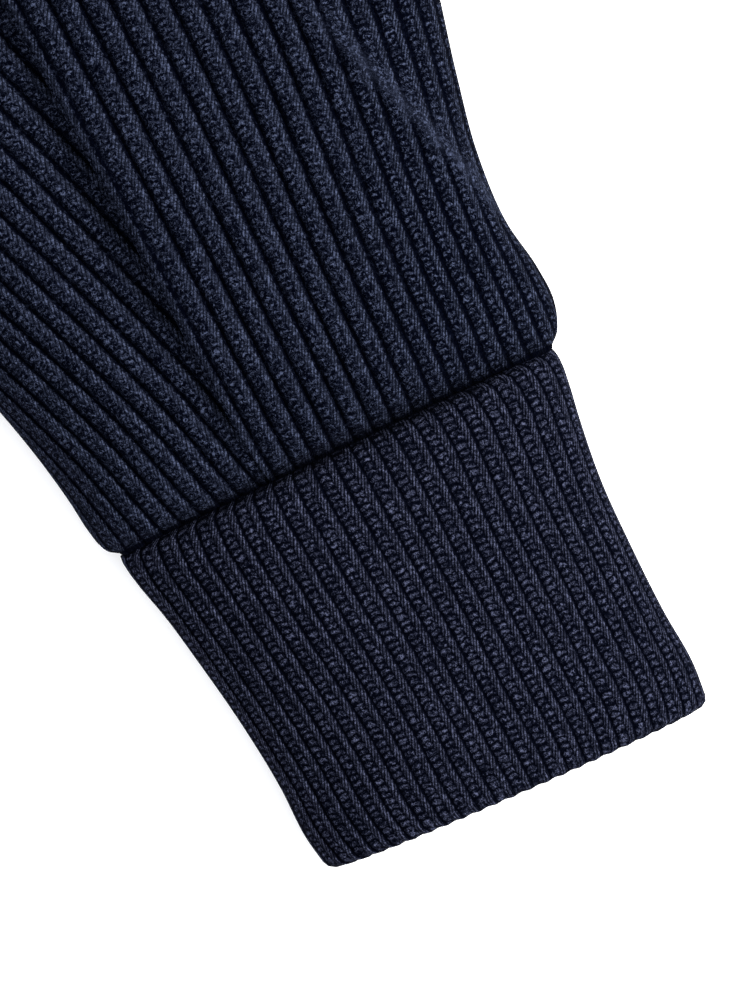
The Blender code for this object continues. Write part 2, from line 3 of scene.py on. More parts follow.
import bpy
import numpy as np
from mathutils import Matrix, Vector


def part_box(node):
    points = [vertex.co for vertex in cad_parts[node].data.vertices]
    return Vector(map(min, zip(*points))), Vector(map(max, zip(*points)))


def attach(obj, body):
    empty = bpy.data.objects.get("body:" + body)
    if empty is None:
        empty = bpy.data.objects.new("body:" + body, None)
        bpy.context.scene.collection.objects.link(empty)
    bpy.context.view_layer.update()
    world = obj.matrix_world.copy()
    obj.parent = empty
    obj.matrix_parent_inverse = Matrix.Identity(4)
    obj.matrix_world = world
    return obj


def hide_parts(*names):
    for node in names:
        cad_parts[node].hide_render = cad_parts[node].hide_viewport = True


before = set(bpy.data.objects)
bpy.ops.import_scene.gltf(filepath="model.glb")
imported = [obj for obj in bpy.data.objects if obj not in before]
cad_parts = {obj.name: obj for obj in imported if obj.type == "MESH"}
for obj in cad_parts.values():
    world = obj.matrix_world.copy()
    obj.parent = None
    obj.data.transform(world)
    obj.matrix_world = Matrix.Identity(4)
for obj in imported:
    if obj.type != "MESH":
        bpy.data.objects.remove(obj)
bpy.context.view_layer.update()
mm = 0.001
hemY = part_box("hem_back")[0][1] / mm  # where the garment's y = 0 lies in the frame
print("frame loaded, hem at", round(hemY, 2), "mm")


# Tables and small shape helpers

def smoothCurve(xs, ys, at):  # a smooth line through a table's points
    xs = np.asarray(xs, float)
    ys = np.asarray(ys, float)
    at = np.clip(np.asarray(at, float), xs[0], xs[-1])
    slopes = np.gradient(ys, xs)
    i = np.clip(np.searchsorted(xs, at, side="right") - 1, 0, len(xs) - 2)
    width = xs[i + 1] - xs[i]
    t = (at - xs[i]) / width
    return ((2 * t**3 - 3 * t**2 + 1) * ys[i] + (t**3 - 2 * t**2 + t) * width * slopes[i]
            + (3 * t**2 - 2 * t**3) * ys[i + 1] + (t**3 - t**2) * width * slopes[i + 1])


def smoothStep(at, start, end):
    t = np.clip((at - start) / (end - start), 0, 1)
    return t * t * (3 - 2 * t)


def runningTotal(steps):  # how far along each point of a line lies
    return np.concatenate([[0], np.cumsum(steps)])


def swells(table, u, v):  # soft dents and ridges: place, reach and height
    total = 0
    for atU, atV, reachU, reachV, height in table:
        total = total + height * np.exp(-(((u - atU) / reachU) ** 2) - ((v - atV) / reachV) ** 2)
    return total


def unevenness(u, v, seed=0.0):  # a slow wander, the same each time, between about -1 and 1
    return (np.sin(u * 0.9 + 1.7 * np.sin(v * 0.31 + seed) + seed)
            + np.sin(v * 0.7 + 1.3 * np.sin(u * 0.43 + 2.1 * seed) + 0.5)
            + np.sin(u * 0.37 - v * 0.53 + 3.1 * seed)) / 3


ribShape = {  # one rib of the wide knit, from groove to groove: purl ladder first, then the knit wale
    "at": [0.0, 0.05, 0.13, 0.28, 0.48, 0.68, 0.85, 0.94, 1.0],
    "height": [-0.6, -0.2, 0.28, 0.72, 0.95, 1.0, 0.7, 0.2, -0.6],
}


def ribHeight(ribs):
    return np.interp((ribs + 0.5) % 1.0, ribShape["at"], ribShape["height"])


def ribColumns(first, last):  # rib coordinates of the columns of points
    at = np.array(ribShape["at"][:-1])
    return (np.arange(first, last + 1)[:, None] - 0.5 + at[None, :]).ravel()


# Mesh building

rollTurns = [math.radians(a) for a in (30, 60, 90, 120, 150)]
weldSteps = 1e7  # points in the same ten-thousandth of a millimetre are one


def rolledEdge(start, end, bulge):  # rows that carry one face round into the other
    rows = []
    for turn in rollTurns:
        row = start + (end - start) * (1 - math.cos(turn)) / 2
        row[:, :3] += np.asarray(bulge) * math.sin(turn)
        rows.append(row)
    return rows


def closedShell(outer, inner, lowBulge, highBulge):  # outer and inner rows become one closed skin
    rows = list(outer) + rolledEdge(outer[-1], inner[-1], highBulge)
    rows += list(inner[::-1]) + rolledEdge(inner[0], outer[0], lowBulge) + [outer[0]]
    return np.array(rows)


def addObject(name, data):
    made = bpy.data.objects.new(name, data)
    bpy.context.scene.collection.objects.link(made)
    return made


def makePiece(name, grid, material, nodes, mirrored=False, napAndRidgeHighlight=None, seamShade=None):
    rows, columns = grid.shape[:2]
    flatGrid = grid.reshape(-1, 5)
    place = flatGrid[:, :3] * (-1 if mirrored else 1, 1, 1)
    place = (place + (0, hemY, 0)) * mm
    index = np.arange(rows * columns).reshape(rows, columns)
    a, b, c, d = index[:-1, :-1], index[:-1, 1:], index[1:, 1:], index[1:, :-1]
    corners = np.concatenate([np.stack([a, b, c], -1).reshape(-1, 3), np.stack([a, c, d], -1).reshape(-1, 3)])
    if mirrored:
        corners = corners[:, ::-1]
    spots = np.round(place * weldSteps).astype(np.int64)
    _, kept, welded = np.unique(spots, axis=0, return_index=True, return_inverse=True)
    welded = welded.ravel()
    joined = welded[corners]
    whole = (joined[:, 0] != joined[:, 1]) & (joined[:, 1] != joined[:, 2]) & (joined[:, 2] != joined[:, 0])
    corners, joined = corners[whole], joined[whole]
    mesh = bpy.data.meshes.new(name)
    mesh.from_pydata(place[kept], [], joined.tolist())
    layer = mesh.uv_layers.new(name="stitches")
    layer.data.foreach_set("uv", flatGrid[corners.ravel(), 3:5].astype(np.float32).ravel())
    # first column: the nap, raised on the ridge for a painted highlight; second column: painted shade along
    # the seam
    wear = np.ones((len(flatGrid), 2))
    wear[:, 1] = 0 if seamShade is None else seamShade(flatGrid)
    if napAndRidgeHighlight is not None:
        wear[:, 0] = napAndRidgeHighlight(flatGrid)
    layer = mesh.uv_layers.new(name="napAndPaintedShading")  # how far the nap hides the stitches, with a painted highlight on the ridge, and how strong the painted shade along the seam is
    layer.data.foreach_set("uv", wear[corners.ravel()].astype(np.float32).ravel())
    mesh.polygons.foreach_set("use_smooth", np.ones(len(joined), bool))
    mesh.materials.append(material)
    piece = addObject(name, mesh)
    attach(piece, "root")
    if nodes:
        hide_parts(*nodes)
    print(name, len(joined), "triangles")
    return piece


# Shader node helpers

def newGroup(name, inputs, outputs):
    group = bpy.data.node_groups.new(name, "ShaderNodeTree")
    for label, kind, value in inputs:
        socket = group.interface.new_socket(label, in_out="INPUT", socket_type=kind)
        if value is not None:
            socket.default_value = value
    for label, kind in outputs:
        group.interface.new_socket(label, in_out="OUTPUT", socket_type=kind)
    return group, group.nodes.new("NodeGroupInput"), group.nodes.new("NodeGroupOutput")


class Wiring:  # places nodes in a tree and links values into them
    def __init__(self, tree):
        self.tree = tree

    def add(self, kind, **settings):
        node = self.tree.nodes.new(kind)
        for key, value in settings.items():
            setattr(node, key, value)
        return node

    def feed(self, socket, value):
        if isinstance(value, bpy.types.NodeSocket):
            self.tree.links.new(value, socket)
        elif value is not None:
            socket.default_value = value

    def math(self, operation, first, second=None, clamp=False):
        node = self.add("ShaderNodeMath", operation=operation, use_clamp=clamp)
        for socket, value in zip(node.inputs, (first, second)):
            self.feed(socket, value)
        return node.outputs[0]

    def feedAll(self, node, values):
        for label, value in values.items():
            self.feed(node.inputs[label], value)

    def noise(self, place, scale, detail=2.0, roughness=0.5, distortion=0.0):
        node = self.add("ShaderNodeTexNoise")
        self.feedAll(node, {"Vector": place, "Scale": scale, "Detail": detail, "Roughness": roughness,
                            "Distortion": distortion})
        return node.outputs["Fac"]

    def remap(self, value, low, high, toLow=0.0, toHigh=1.0):
        node = self.add("ShaderNodeMapRange", interpolation_type="SMOOTHSTEP")
        for socket, given in zip(node.inputs, (value, low, high, toLow, toHigh)):
            self.feed(socket, given)
        return node.outputs["Result"]

    def mix(self, factor, first, second):
        node = self.add("ShaderNodeMix", data_type="RGBA")
        for label, value in (("Factor_Float", factor), ("A_Color", first), ("B_Color", second)):
            socket = next(s for s in node.inputs if s.identifier == label)
            self.feed(socket, value)
        return next(s for s in node.outputs if s.identifier == "Result_Color")

    def bump(self, height, distance):
        node = self.add("ShaderNodeBump")
        self.feedAll(node, {"Distance": distance, "Height": height})
        return node.outputs[0]


def newMaterial(name):
    material = bpy.data.materials.new(name)
    material.use_nodes = True
    return material, Wiring(material.node_tree), material.node_tree.nodes["Principled BSDF"]


# The stitches: a knit wale of slanted loops and a purl ladder of bars in each rib

def buildStitchGroup():
    group, given, made = newGroup(
        "ribStitches",
        [("Wale", "NodeSocketFloat", 0.0), ("Course", "NodeSocketFloat", 0.0),
         ("Knit Place", "NodeSocketFloat", 0.72), ("Knit Half", "NodeSocketFloat", 0.18),
         ("Purl Place", "NodeSocketFloat", 0.32), ("Purl Half", "NodeSocketFloat", 0.22),
         ("Slant", "NodeSocketFloat", 0.5), ("Wander", "NodeSocketFloat", 0.15)],
        [("Height", "NodeSocketFloat"), ("Depth", "NodeSocketFloat"), ("Knit", "NodeSocketFloat")])
    w = Wiring(group)
    i = given.outputs
    course = w.math("ADD", i["Course"], i["Wander"])
    wale = w.math("FRACT", i["Wale"])
    side = w.math("DIVIDE", w.math("SUBTRACT", wale, i["Knit Place"]), i["Knit Half"])
    phase = w.math("FRACT", w.math("SUBTRACT", course, w.math("MULTIPLY", side, i["Slant"])))
    swing = w.math("SUBTRACT", w.math("MULTIPLY", phase, 2.0), 1.0)
    bead = w.math("SUBTRACT", 1.0, w.math("POWER", w.math("ABSOLUTE", swing), 1.5), clamp=True)
    oval = w.math("SUBTRACT", 1.0, w.math("POWER", w.math("ABSOLUTE", side), 2.2), clamp=True)
    knitLoop = w.math("SQRT", w.math("MULTIPLY", bead, oval))
    reach = w.math("DIVIDE", w.math("SUBTRACT", wale, i["Purl Place"]), i["Purl Half"])
    bow = w.math("MULTIPLY", w.math("MULTIPLY", reach, reach), 0.16)
    barPhase = w.math("FRACT", w.math("ADD", w.math("ADD", course, 0.5), bow))
    barSwing = w.math("SUBTRACT", w.math("MULTIPLY", barPhase, 2.0), 1.0)
    bar = w.math("SUBTRACT", 1.0, w.math("POWER", w.math("ABSOLUTE", barSwing), 1.3), clamp=True)
    across = w.math("SUBTRACT", 1.0, w.math("POWER", w.math("ABSOLUTE", reach), 2.6), clamp=True)
    purlLoop = w.math("MULTIPLY", w.math("SQRT", w.math("MULTIPLY", bar, across)), 0.9)
    height = w.math("MAXIMUM", knitLoop, purlLoop)
    # Depth marks the low places between the loops, where the material paints shade
    w.feedAll(made, {"Height": height, "Depth": w.remap(height, 0.3, 0.85, 1.0, 0.0), "Knit": oval})
    return group


def buildYarnGroup():  # melange wool: pale fibres on dark yarn, small clumps and slow shade changes
    group, given, made = newGroup(
        "melangeYarn",
        [("Place", "NodeSocketVector", None), ("Fibre Scale", "NodeSocketFloat", 820.0),
         ("Clump Scale", "NodeSocketFloat", 1300.0), ("Shade Scale", "NodeSocketFloat", 24.0)],
        [("Fleck", "NodeSocketFloat"), ("Dark", "NodeSocketFloat"), ("Shade", "NodeSocketFloat"),
         ("Nap", "NodeSocketFloat")])
    w = Wiring(group)
    i = given.outputs
    fibre = w.noise(i["Place"], i["Fibre Scale"], 1.0, 0.5, 0.8)
    hair = w.noise(i["Place"], w.math("MULTIPLY", i["Fibre Scale"], 1.9), 1.0, 0.5, 1.2)
    clump = w.noise(i["Place"], i["Clump Scale"], 2.0, 0.6)
    line = w.math("ABSOLUTE", w.math("SUBTRACT", fibre, 0.5))
    stroke = w.remap(line, 0.005, 0.065, 1.0, 0.0)
    hairLine = w.remap(w.math("ABSOLUTE", w.math("SUBTRACT", hair, 0.52)), 0.0, 0.06, 0.7, 0.0)
    broken = w.remap(clump, 0.36, 0.58)  # cuts the lines into short strokes
    w.feed(made.inputs["Fleck"], w.math("MULTIPLY", w.math("MAXIMUM", stroke, hairLine), broken))
    w.feed(made.inputs["Dark"], w.math("MAXIMUM", w.remap(line, 0.02, 0.095), w.remap(clump, 0.52, 0.4)))
    w.feed(made.inputs["Shade"], w.remap(w.noise(i["Place"], i["Shade Scale"], 1.0), 0.3, 0.7))
    w.feed(made.inputs["Nap"], w.math("ADD", w.math("MULTIPLY", w.math("MINIMUM", line, 0.12), -4.0),
                                      w.math("MULTIPLY", clump, 1.2)))
    return group


stitchGroup = buildStitchGroup()
yarnGroup = buildYarnGroup()

# for both knits: deep is the dark of the yarn and also the painted shade in gaps, grooves and along the seam;
# light is the pale fibres and also the painted highlight on the wales and the ridge; gap is the strength of
# the painted shade between the loops
wideKnit = {
    "deep": (0.0001, 0.0003, 0.0017, 1), "yarn": (0.0036, 0.0052, 0.0128, 1),
    "light": (0.0495, 0.0605, 0.104, 1), "tint": (0.003, 0.0045, 0.0114, 1),
    "roughness": 0.9, "sheen": 0.003, "loopHeight": 0.55, "napHeight": 0.3,
    "gap": 0.86, "fleck": 0.8, "dark": 0.96, "fibre": 920.0, "slant": 1.2, "waleWander": 0.24,
    "courseWander": 1.5, "paintedWaleHighlight": 0.1, "nap": 0.36, "groove": 0.04, "grooveWander": 0.55,
    "knitPlace": 0.76, "knitHalf": 0.2, "purlPlace": 0.36, "purlHalf": 0.27,
}
fineRib = {
    "deep": (0.0001, 0.0003, 0.0017, 1), "yarn": (0.007, 0.0089, 0.0188, 1),
    "light": (0.068, 0.0755, 0.127, 1), "tint": (0.0062, 0.0078, 0.0168, 1),
    "roughness": 0.88, "sheen": 0.003, "loopHeight": 0.5, "napHeight": 0.3,
    "gap": 0.86, "fleck": 0.78, "dark": 0.85, "fibre": 1120.0, "slant": 1.3, "waleWander": 0.16,
    "courseWander": 1.3, "paintedWaleHighlight": 0.07, "nap": 0.0,
    "knitPlace": 0.45, "knitHalf": 0.21, "purlPlace": 0.0, "purlHalf": 0.31,
}


knitFinish = {
    "driftScale": 700.0, "raggedScale": 850.0, "grooveFade": 2.4, "seamShadeStrength": 0.95, "specular": 0.005,
    "sheenRoughness": 0.5, "sheenTint": (0.55, 0.6, 0.85, 1), "bump": 1.0,
}


def knitMaterial(name, look, turn=0.0):
    material, w, shader = newMaterial(name)
    stitches = w.add("ShaderNodeUVMap", uv_map="stitches")
    split = w.add("ShaderNodeSeparateXYZ")
    w.feed(split.inputs[0], stitches.outputs[0])
    place = w.add("ShaderNodeTexCoord").outputs["Object"]
    drift = w.math("SUBTRACT", w.noise(place, knitFinish["driftScale"], 2.0, 0.55), 0.5)
    loops = w.add("ShaderNodeGroup", node_tree=stitchGroup)
    wale = w.math("ADD", split.outputs[0], turn)
    w.feedAll(loops, {
        "Wale": w.math("ADD", wale, w.math("MULTIPLY", drift, look["waleWander"])),
        "Course": split.outputs[1], "Wander": w.math("MULTIPLY", drift, look["courseWander"]),
        "Knit Place": look["knitPlace"] + turn, "Knit Half": look["knitHalf"],
        "Purl Place": look["purlPlace"] + turn, "Purl Half": look["purlHalf"], "Slant": look["slant"]})
    yarn = w.add("ShaderNodeGroup", node_tree=yarnGroup)
    w.feedAll(yarn, {"Place": place, "Fibre Scale": look["fibre"]})
    depth, height, groove = loops.outputs["Depth"], loops.outputs["Height"], None
    # x: the nap, raised on the ridge for a painted highlight; y: painted shade along the seam
    napAndPaintedShading = w.add("ShaderNodeSeparateXYZ")
    w.feed(napAndPaintedShading.inputs[0], w.add("ShaderNodeUVMap", uv_map="napAndPaintedShading").outputs[0])
    if look["nap"]:
        plain = w.math("SUBTRACT", 1.0, w.math("MULTIPLY", napAndPaintedShading.outputs[0], look["nap"]))
        depth = w.math("MULTIPLY", depth, plain)
        height = w.math("MULTIPLY", height, plain)
        ragged = w.math("SUBTRACT", w.noise(place, knitFinish["raggedScale"], 2.0, 0.6), 0.5)
        ragged = w.math("MULTIPLY", ragged, look["grooveWander"])
        fromGroove = w.math("ABSOLUTE", w.math("SUBTRACT", w.math("FRACT", w.math("ADD", wale, 0.5)), 0.5))
        fade = look["groove"] * knitFinish["grooveFade"]
        groove = w.remap(w.math("ADD", fromGroove, ragged), look["groove"], fade, 1.0, 0.0)
    base = w.mix(yarn.outputs["Shade"], look["yarn"], look["tint"])
    base = w.mix(w.math("MULTIPLY", yarn.outputs["Dark"], look["dark"]), base, look["deep"])
    # raised marks the crowns of the loops; pale fibres are drawn only there, leaving the gaps to the painted
    # shade
    raised = w.math("SUBTRACT", 1.0, depth, clamp=True)
    fleck = w.math("MULTIPLY", w.math("MULTIPLY", yarn.outputs["Fleck"], raised), look["fleck"])
    base = w.mix(fleck, base, look["light"])
    # painted highlight on the crowns of the raised knit wales
    waleHighlight = w.math("MULTIPLY", w.math("MULTIPLY", loops.outputs["Knit"], raised), look["paintedWaleHighlight"])
    base = w.mix(waleHighlight, base, look["light"])
    # painted shade in the gaps between the loops
    base = w.mix(w.math("MULTIPLY", depth, look["gap"]), base, look["deep"])
    # painted shade in the grooves between the ribs, fainter where the nap is worn thin and on the ridge, then
    # a painted highlight along the ridge
    if groove:
        grooveShade = w.math("MULTIPLY", w.remap(napAndPaintedShading.outputs[0], 0.2, 1.0, 0.25, 0.95), groove)
        grooveShade = w.math("MULTIPLY", w.remap(napAndPaintedShading.outputs[0], 1.1, 2.0, 1.0, 0.35), grooveShade)
        base = w.mix(grooveShade, base, look["deep"])
        base = w.mix(w.remap(napAndPaintedShading.outputs[0], 1.2, 2.4, 0.0, 0.1), base, look["light"])
    # painted shade along the seam between sleeve and cuff
    base = w.mix(w.math("MULTIPLY", napAndPaintedShading.outputs[1], knitFinish["seamShadeStrength"]), base, look["deep"])
    height = w.math("ADD", w.math("MULTIPLY", height, look["loopHeight"]),
                    w.math("MULTIPLY", yarn.outputs["Nap"], look["napHeight"]))
    w.feedAll(shader, {
        "Base Color": base, "Roughness": look["roughness"], "Specular IOR Level": knitFinish["specular"],
        "Sheen Weight": look["sheen"], "Sheen Roughness": knitFinish["sheenRoughness"],
        "Sheen Tint": knitFinish["sheenTint"], "Normal": w.bump(height, knitFinish["bump"] * mm)})
    return material


knit = knitMaterial("brushedWideRib", wideKnit)
rib = knitMaterial("fineRib", fineRib, turn=0.28)
print("materials ready")


# Sleeve and cuff places: up along the sleeve from the cuff seam, and across from its axis

sleeveAxis = {"seamX": 475.6, "seamY": 133.0, "lean": math.radians(28.7)}


def onSleeve(up, across):
    lean = sleeveAxis["lean"]
    return (sleeveAxis["seamX"] - math.sin(lean) * up + math.cos(lean) * across,
            sleeveAxis["seamY"] + math.cos(lean) * up + math.sin(lean) * across)


def offSleeve(x, y):
    lean = sleeveAxis["lean"]
    dx, dy = x - sleeveAxis["seamX"], y - sleeveAxis["seamY"]
    return -math.sin(lean) * dx + math.cos(lean) * dy, math.cos(lean) * dx + math.sin(lean) * dy


body = {
    "half": 275.0, "seamHalf": 257.0, "hemHalf": 251.0, "hemHeight": 70.0, "underarmY": 420.0,
    "armholeHalf": 234.0, "armholeBendY": 540.0, "shoulderY": 636.0, "neckHalf": 85.0, "neckSideY": 680.0,
    "frontNeckY": 605.0, "backNeckY": 665.0, "bandHalf": 15.0, "gap": 0.3, "wall": 3.0, "bandWall": 3.4,
    "armholeRows": [420.0, 440.0, 465.0, 495.0, 540.0, 605.0, 636.0],
    "lowHalf": 268.0, "blouse": 9.0,  # the sides above the hem, and how soon they swell over it
    "climb": 30.0,  # width of the slope from the wall up on to the right band
}


def armholeX(y):
    below = np.maximum(0.0, (body["armholeBendY"] - y) / (body["armholeBendY"] - body["underarmY"]))
    return body["armholeHalf"] + (body["half"] - body["armholeHalf"]) * below**2


def armholeEdge(y):
    rows = body["armholeRows"]
    return np.interp(y, rows, [armholeX(row) for row in rows])


sleeve = {
    # left up, left across, right up, right across, crown, widest line, inset of the hollow at the left
    "sections": [
        (3.2, -52.9, -2.2, 52.6, 16.5, 8.5, 4.5), (4.6, -54.8, -0.6, 54.6, 22, 8.5, 4.5),
        (6.8, -55.9, 2, 56.2, 25.5, 8.5, 4.5), (10.5, -56.6, 6, 57.6, 29, 8.5, 4.5),
        (18, -57.2, 14, 58, 31.5, 8, 4.5), (28, -58.4, 26, 56.8, 32, 8, 4.5),
        (42, -61, 42, 58.4, 31.5, 7.5, 4.5), (60, -65.5, 60, 62.8, 30, 7.5, 4.5),
        (80, -70.5, 80, 68.6, 28, 7, 4.5),
        (110, -75, 112, 76, 25.5, 7, 4.5), (150, -77.5, 156, 83, 22, 6.5, 4.5),
        (200, -76, 212, 89, 18.5, 6, 5), (250, -68.5, 275, 92, 15, 5.5, 6),
        (295, -56.5, 345, 87.5, 12, 5, 9), (325, -46.5, 410, 77.5, 9.8, 4.5, 18),
        (345.3, -36.7, 480, 62, 8.2, 4, 32)],
    "armhole": {"crown": 7.2, "widest": 3.6, "inset": 45.0},
    # up, depth of the step, ribs hidden under the lip
    "crease": [(0, 0, 6.2), (10, 1.2, 5.8), (25, 3.6, 5.2), (60, 5.6, 3.4), (110, 4.6, 1.0), (150, 2.4, 0),
               (190, 0, 0), (600, 0, 0)],
    "creaseAcross": -17.0, "creaseReach": 15.0, "lipTuck": 0.55,
    "pitch": [(0, 4.7), (40, 5.1), (80, 5.6), (130, 6), (600, 6)],
    "swells": [(24, 25, 6, 20, -2.6), (16, -20, 7, 12, -1.6), (190, 30, 60, 14, 1.6),
               (260, -25, 30, 22, -1.6)],
    "ridge": {"across": 65.4, "slant": 0.294, "reach": 3.2, "from": (14, 28), "to": (66, 104), "height": 2.2},
    "worn": {"slant": 0.35, "across": (4, 30), "up": (130, 200)},
    "ribRelief": (0.88, 0.55, 0.6),  # plain, taken off where worn, taken off on the ridge
    "rise": 1.3, "wall": 3.0, "ribsEachWay": 27, "seamRows": [0, 0.3, 0.6, 0.9, 1.3], "fineFrom": 1.8,
    "fineTo": 134.0, "fineStep": 0.9, "farStep": 2.6, "coarseStep": 4.0, "innerEvery": 12,
    "course": 1.5, "flat": (0.34, 0.53), "area": 0.135,
}
lipTurns = [math.radians(a) for a in (-60, -35, -10, 15, 40, 65, 80)]
underReach = [0.4, 1.2, 2.5, 4.5, 7.0, 9.0]
floorShare = 0.87  # the wall is a little thinner where the tube rests
leastHollow = 0.4


def underPlaces(length):  # shares of the width, from the right edge back to the left one
    away = np.array(underReach) / length
    return np.concatenate([1 - away, [0.5], away[::-1]])


def thinned(rows, every):  # the plain inside needs fewer rows
    return np.array(rows)[np.unique(np.append(np.arange(0, len(rows), every), len(rows) - 1))]


def underHeight(away, widest):
    inside = np.clip(1.0 - away / underReach[-1], 0, 1)
    return widest * (1.0 - np.sqrt(1.0 - inside**2))


def crownHeight(share, crown, widest, roundness):
    rise = 1.0 - np.minimum(1.0, np.abs(2.0 * share - 1.0)) ** roundness
    return widest + (crown - widest) * rise ** (1.0 / roundness)


def stitchesShow(up, across):  # the nap is worn thin on the outer side of the forearm
    worn = sleeve["worn"]
    return smoothStep(across - worn["slant"] * up, *worn["across"]) * (1 - smoothStep(up, *worn["up"]))


def ridgeShows(up, across):  # a soft fold that slants out to the outline, where the nap catches the light; the material also paints a highlight along it
    ridge = sleeve["ridge"]
    fromLine = across - (ridge["across"] - ridge["slant"] * up)
    along = smoothStep(up, *ridge["from"]) * (1 - smoothStep(up, *ridge["to"]))
    return np.exp(-((fromLine / ridge["reach"]) ** 2)) * along


def sleeveGrid(look, fineStep, columns):
    table = np.array(look["sections"], float)
    armhole = look["armhole"]
    edge = np.array([offSleeve(armholeEdge(y) + body["gap"], y) for y in body["armholeRows"]])
    steps = np.hypot(*np.diff(edge, axis=0).T)
    edgeShare = runningTotal(steps) / steps.sum()
    table = np.vstack([table, [*edge[0], *edge[-1], armhole["crown"], armhole["widest"], armhole["inset"]]])
    middle = (table[:, 0] + table[:, 2]) / 2
    coarse = int((middle[-1] - look["fineTo"]) / look["coarseStep"])
    rows = np.concatenate([middle[0] + np.array(look["seamRows"]),
                           np.arange(middle[0] + look["fineFrom"], look["fineTo"], fineStep),
                           np.linspace(look["fineTo"], middle[-1], coarse)])
    leftUp, leftAcross, rightUp, rightAcross, crowns, widests, insets = [
        smoothCurve(middle, table[:, k], rows) for k in range(7)]
    crease = np.array(look["crease"])
    pitch = np.array(look["pitch"])
    shares = np.linspace(0, 1, 501)
    outer, inner = [], []
    for k, row in enumerate(rows):
        bend = smoothStep(row, middle[-2] - 30, middle[-1])
        lineUp = leftUp[k] + (rightUp[k] - leftUp[k]) * shares
        lineAcross = leftAcross[k] + (rightAcross[k] - leftAcross[k]) * shares
        if bend > 0:
            straight = edge[0] + (edge[-1] - edge[0]) * shares[:, None]
            away = np.stack([np.interp(shares, edgeShare, edge[:, j]) for j in (0, 1)], 1) - straight
            lineUp = lineUp + bend * away[:, 0]
            lineAcross = lineAcross + bend * away[:, 1]
        length = float(np.hypot(np.diff(lineUp), np.diff(lineAcross)).sum())
        roundness = float(np.interp(crowns[k], (8.0, 25.0), (2.8, 2.1)))
        heights = crownHeight(shares, crowns[k], widests[k], roundness)
        stepsAcross = np.maximum(np.diff(lineAcross), 0)
        arc = runningTotal(np.hypot(stepsAcross, np.diff(heights)))
        rising = np.maximum.accumulate(lineAcross)
        creaseShare = float(np.interp(look["creaseAcross"], rising, shares))
        arc = arc - np.interp(creaseShare, shares, arc)
        at = float(np.interp(creaseShare, shares, lineUp))
        step = max(0.0, float(smoothCurve(crease[:, 0], crease[:, 1], at)))
        hidden = float(np.interp(at, crease[:, 0], crease[:, 2]))
        ribPitch = float(smoothCurve(pitch[:, 0], pitch[:, 1], at))
        lip = 1.25 * step / 2  # radius of the roll that hangs over the crease

        def top(share, leftSide, ribs):
            up = np.interp(share, shares, lineUp)
            across = np.interp(share, shares, lineAcross)
            away = across - look["creaseAcross"]
            fall = step * np.exp(-((away / look["creaseReach"]) ** 2)) * (1.0 if leftSide else -0.25)
            nearEdge = np.minimum(share, 1 - share) * length
            height = np.interp(share, shares, heights) - fall
            height = height + np.minimum(1, nearEdge / 8) * swells(look["swells"], up, across)
            edgeFade = np.minimum(1, nearEdge / 7)
            bumpy = 0.16 * unevenness(ribs * 2.2, up / 4.2)
            ridge = ridgeShows(up, across)
            plain, worn, folded = look["ribRelief"]
            soften = plain - worn * stitchesShow(up, across) * (1 - ridge) - folded * ridge
            height = height + np.minimum(1, nearEdge / 8) * look["ridge"]["height"] * ridge
            height = height + edgeFade * (soften * look["rise"] * ribHeight(ribs) + bumpy)
            return up, across, height

        def pack(up, across, height, ribs):
            x, y = onSleeve(up, across)
            return np.stack([x, y, height, ribs + 0.5, up / look["course"]], 1)

        wobble = 0.05 * unevenness(columns * 1.3, at / 9.0, 1.0)
        isLeft = columns < -0.02  # a column on the crease itself belongs to the right part
        ribs = columns[isLeft]
        arcs = np.minimum((ribs + wobble[: len(ribs)] + hidden) * ribPitch, 0)
        leftShare = np.interp(arcs, arc, shares)
        seen = np.interp(leftShare, shares, arc) / ribPitch - hidden
        leftPart = pack(*top(leftShare, True, seen), seen)
        ribs = columns[~isLeft]
        arcs = np.maximum((ribs + wobble[-len(ribs):]) * ribPitch, lip)
        share = np.interp(arcs, arc, shares)
        seen = np.interp(share, shares, arc) / ribPitch
        rightPart = pack(*top(share, False, seen), seen)
        lipUp, lipAcross, lipTop = top(share[:1], False, seen[:1])
        lowUp, lowAcross, lowTop = top(np.array([creaseShare]), True, np.array([-hidden]))
        turns = np.array(lipTurns)
        rollAcross = lipAcross - lip * np.cos(turns)
        rollHeight = lipTop - lip + lip * np.sin(turns)
        rollHeight = np.maximum(rollHeight, np.minimum(lowTop + 0.05, lipTop))
        rollRibs = seen[0] - (math.pi / 2 - turns) * lip / ribPitch
        rollPart = pack(lipUp + 0 * turns, rollAcross, rollHeight, rollRibs)
        tuck = pack(lowUp, lowAcross + lip * look["lipTuck"], lowTop, np.array([-hidden]))
        underShares = underPlaces(length)
        underUp = np.interp(underShares, shares, lineUp)
        underAcross = np.interp(underShares, shares, lineAcross)
        nearest = np.minimum(underShares, 1 - underShares) * length
        underPart = pack(underUp, underAcross, underHeight(nearest, widests[k]),
                         rightPart[-1, 3] - 0.5 + (1 - underShares) * length / ribPitch)
        outer.append(np.vstack([leftPart, tuck, rollPart, rightPart, underPart, leftPart[:1]]))
        # the plain inside follows a wall below
        start, end = insets[k] / length, 1 - (look["wall"] + 1.5) / length
        floorTop = look["wall"] * floorShare

        def inside(share, ribs, under):
            share = np.clip(share, start, end)
            up = np.interp(share, shares, lineUp)
            across = np.interp(share, shares, lineAcross)
            if under:
                height = np.full_like(share, floorTop)
            else:
                away = across - look["creaseAcross"]
                fall = 1.15 * step * np.exp(-((away / (look["creaseReach"] * 1.2)) ** 2))
                fall = fall - np.minimum(0, swells(look["swells"], up, across)) * 1.1
                height = np.interp(share, shares, heights) - fall - look["wall"]
                height = np.maximum(height, floorTop + leastHollow)
            return pack(up, across, height, ribs)

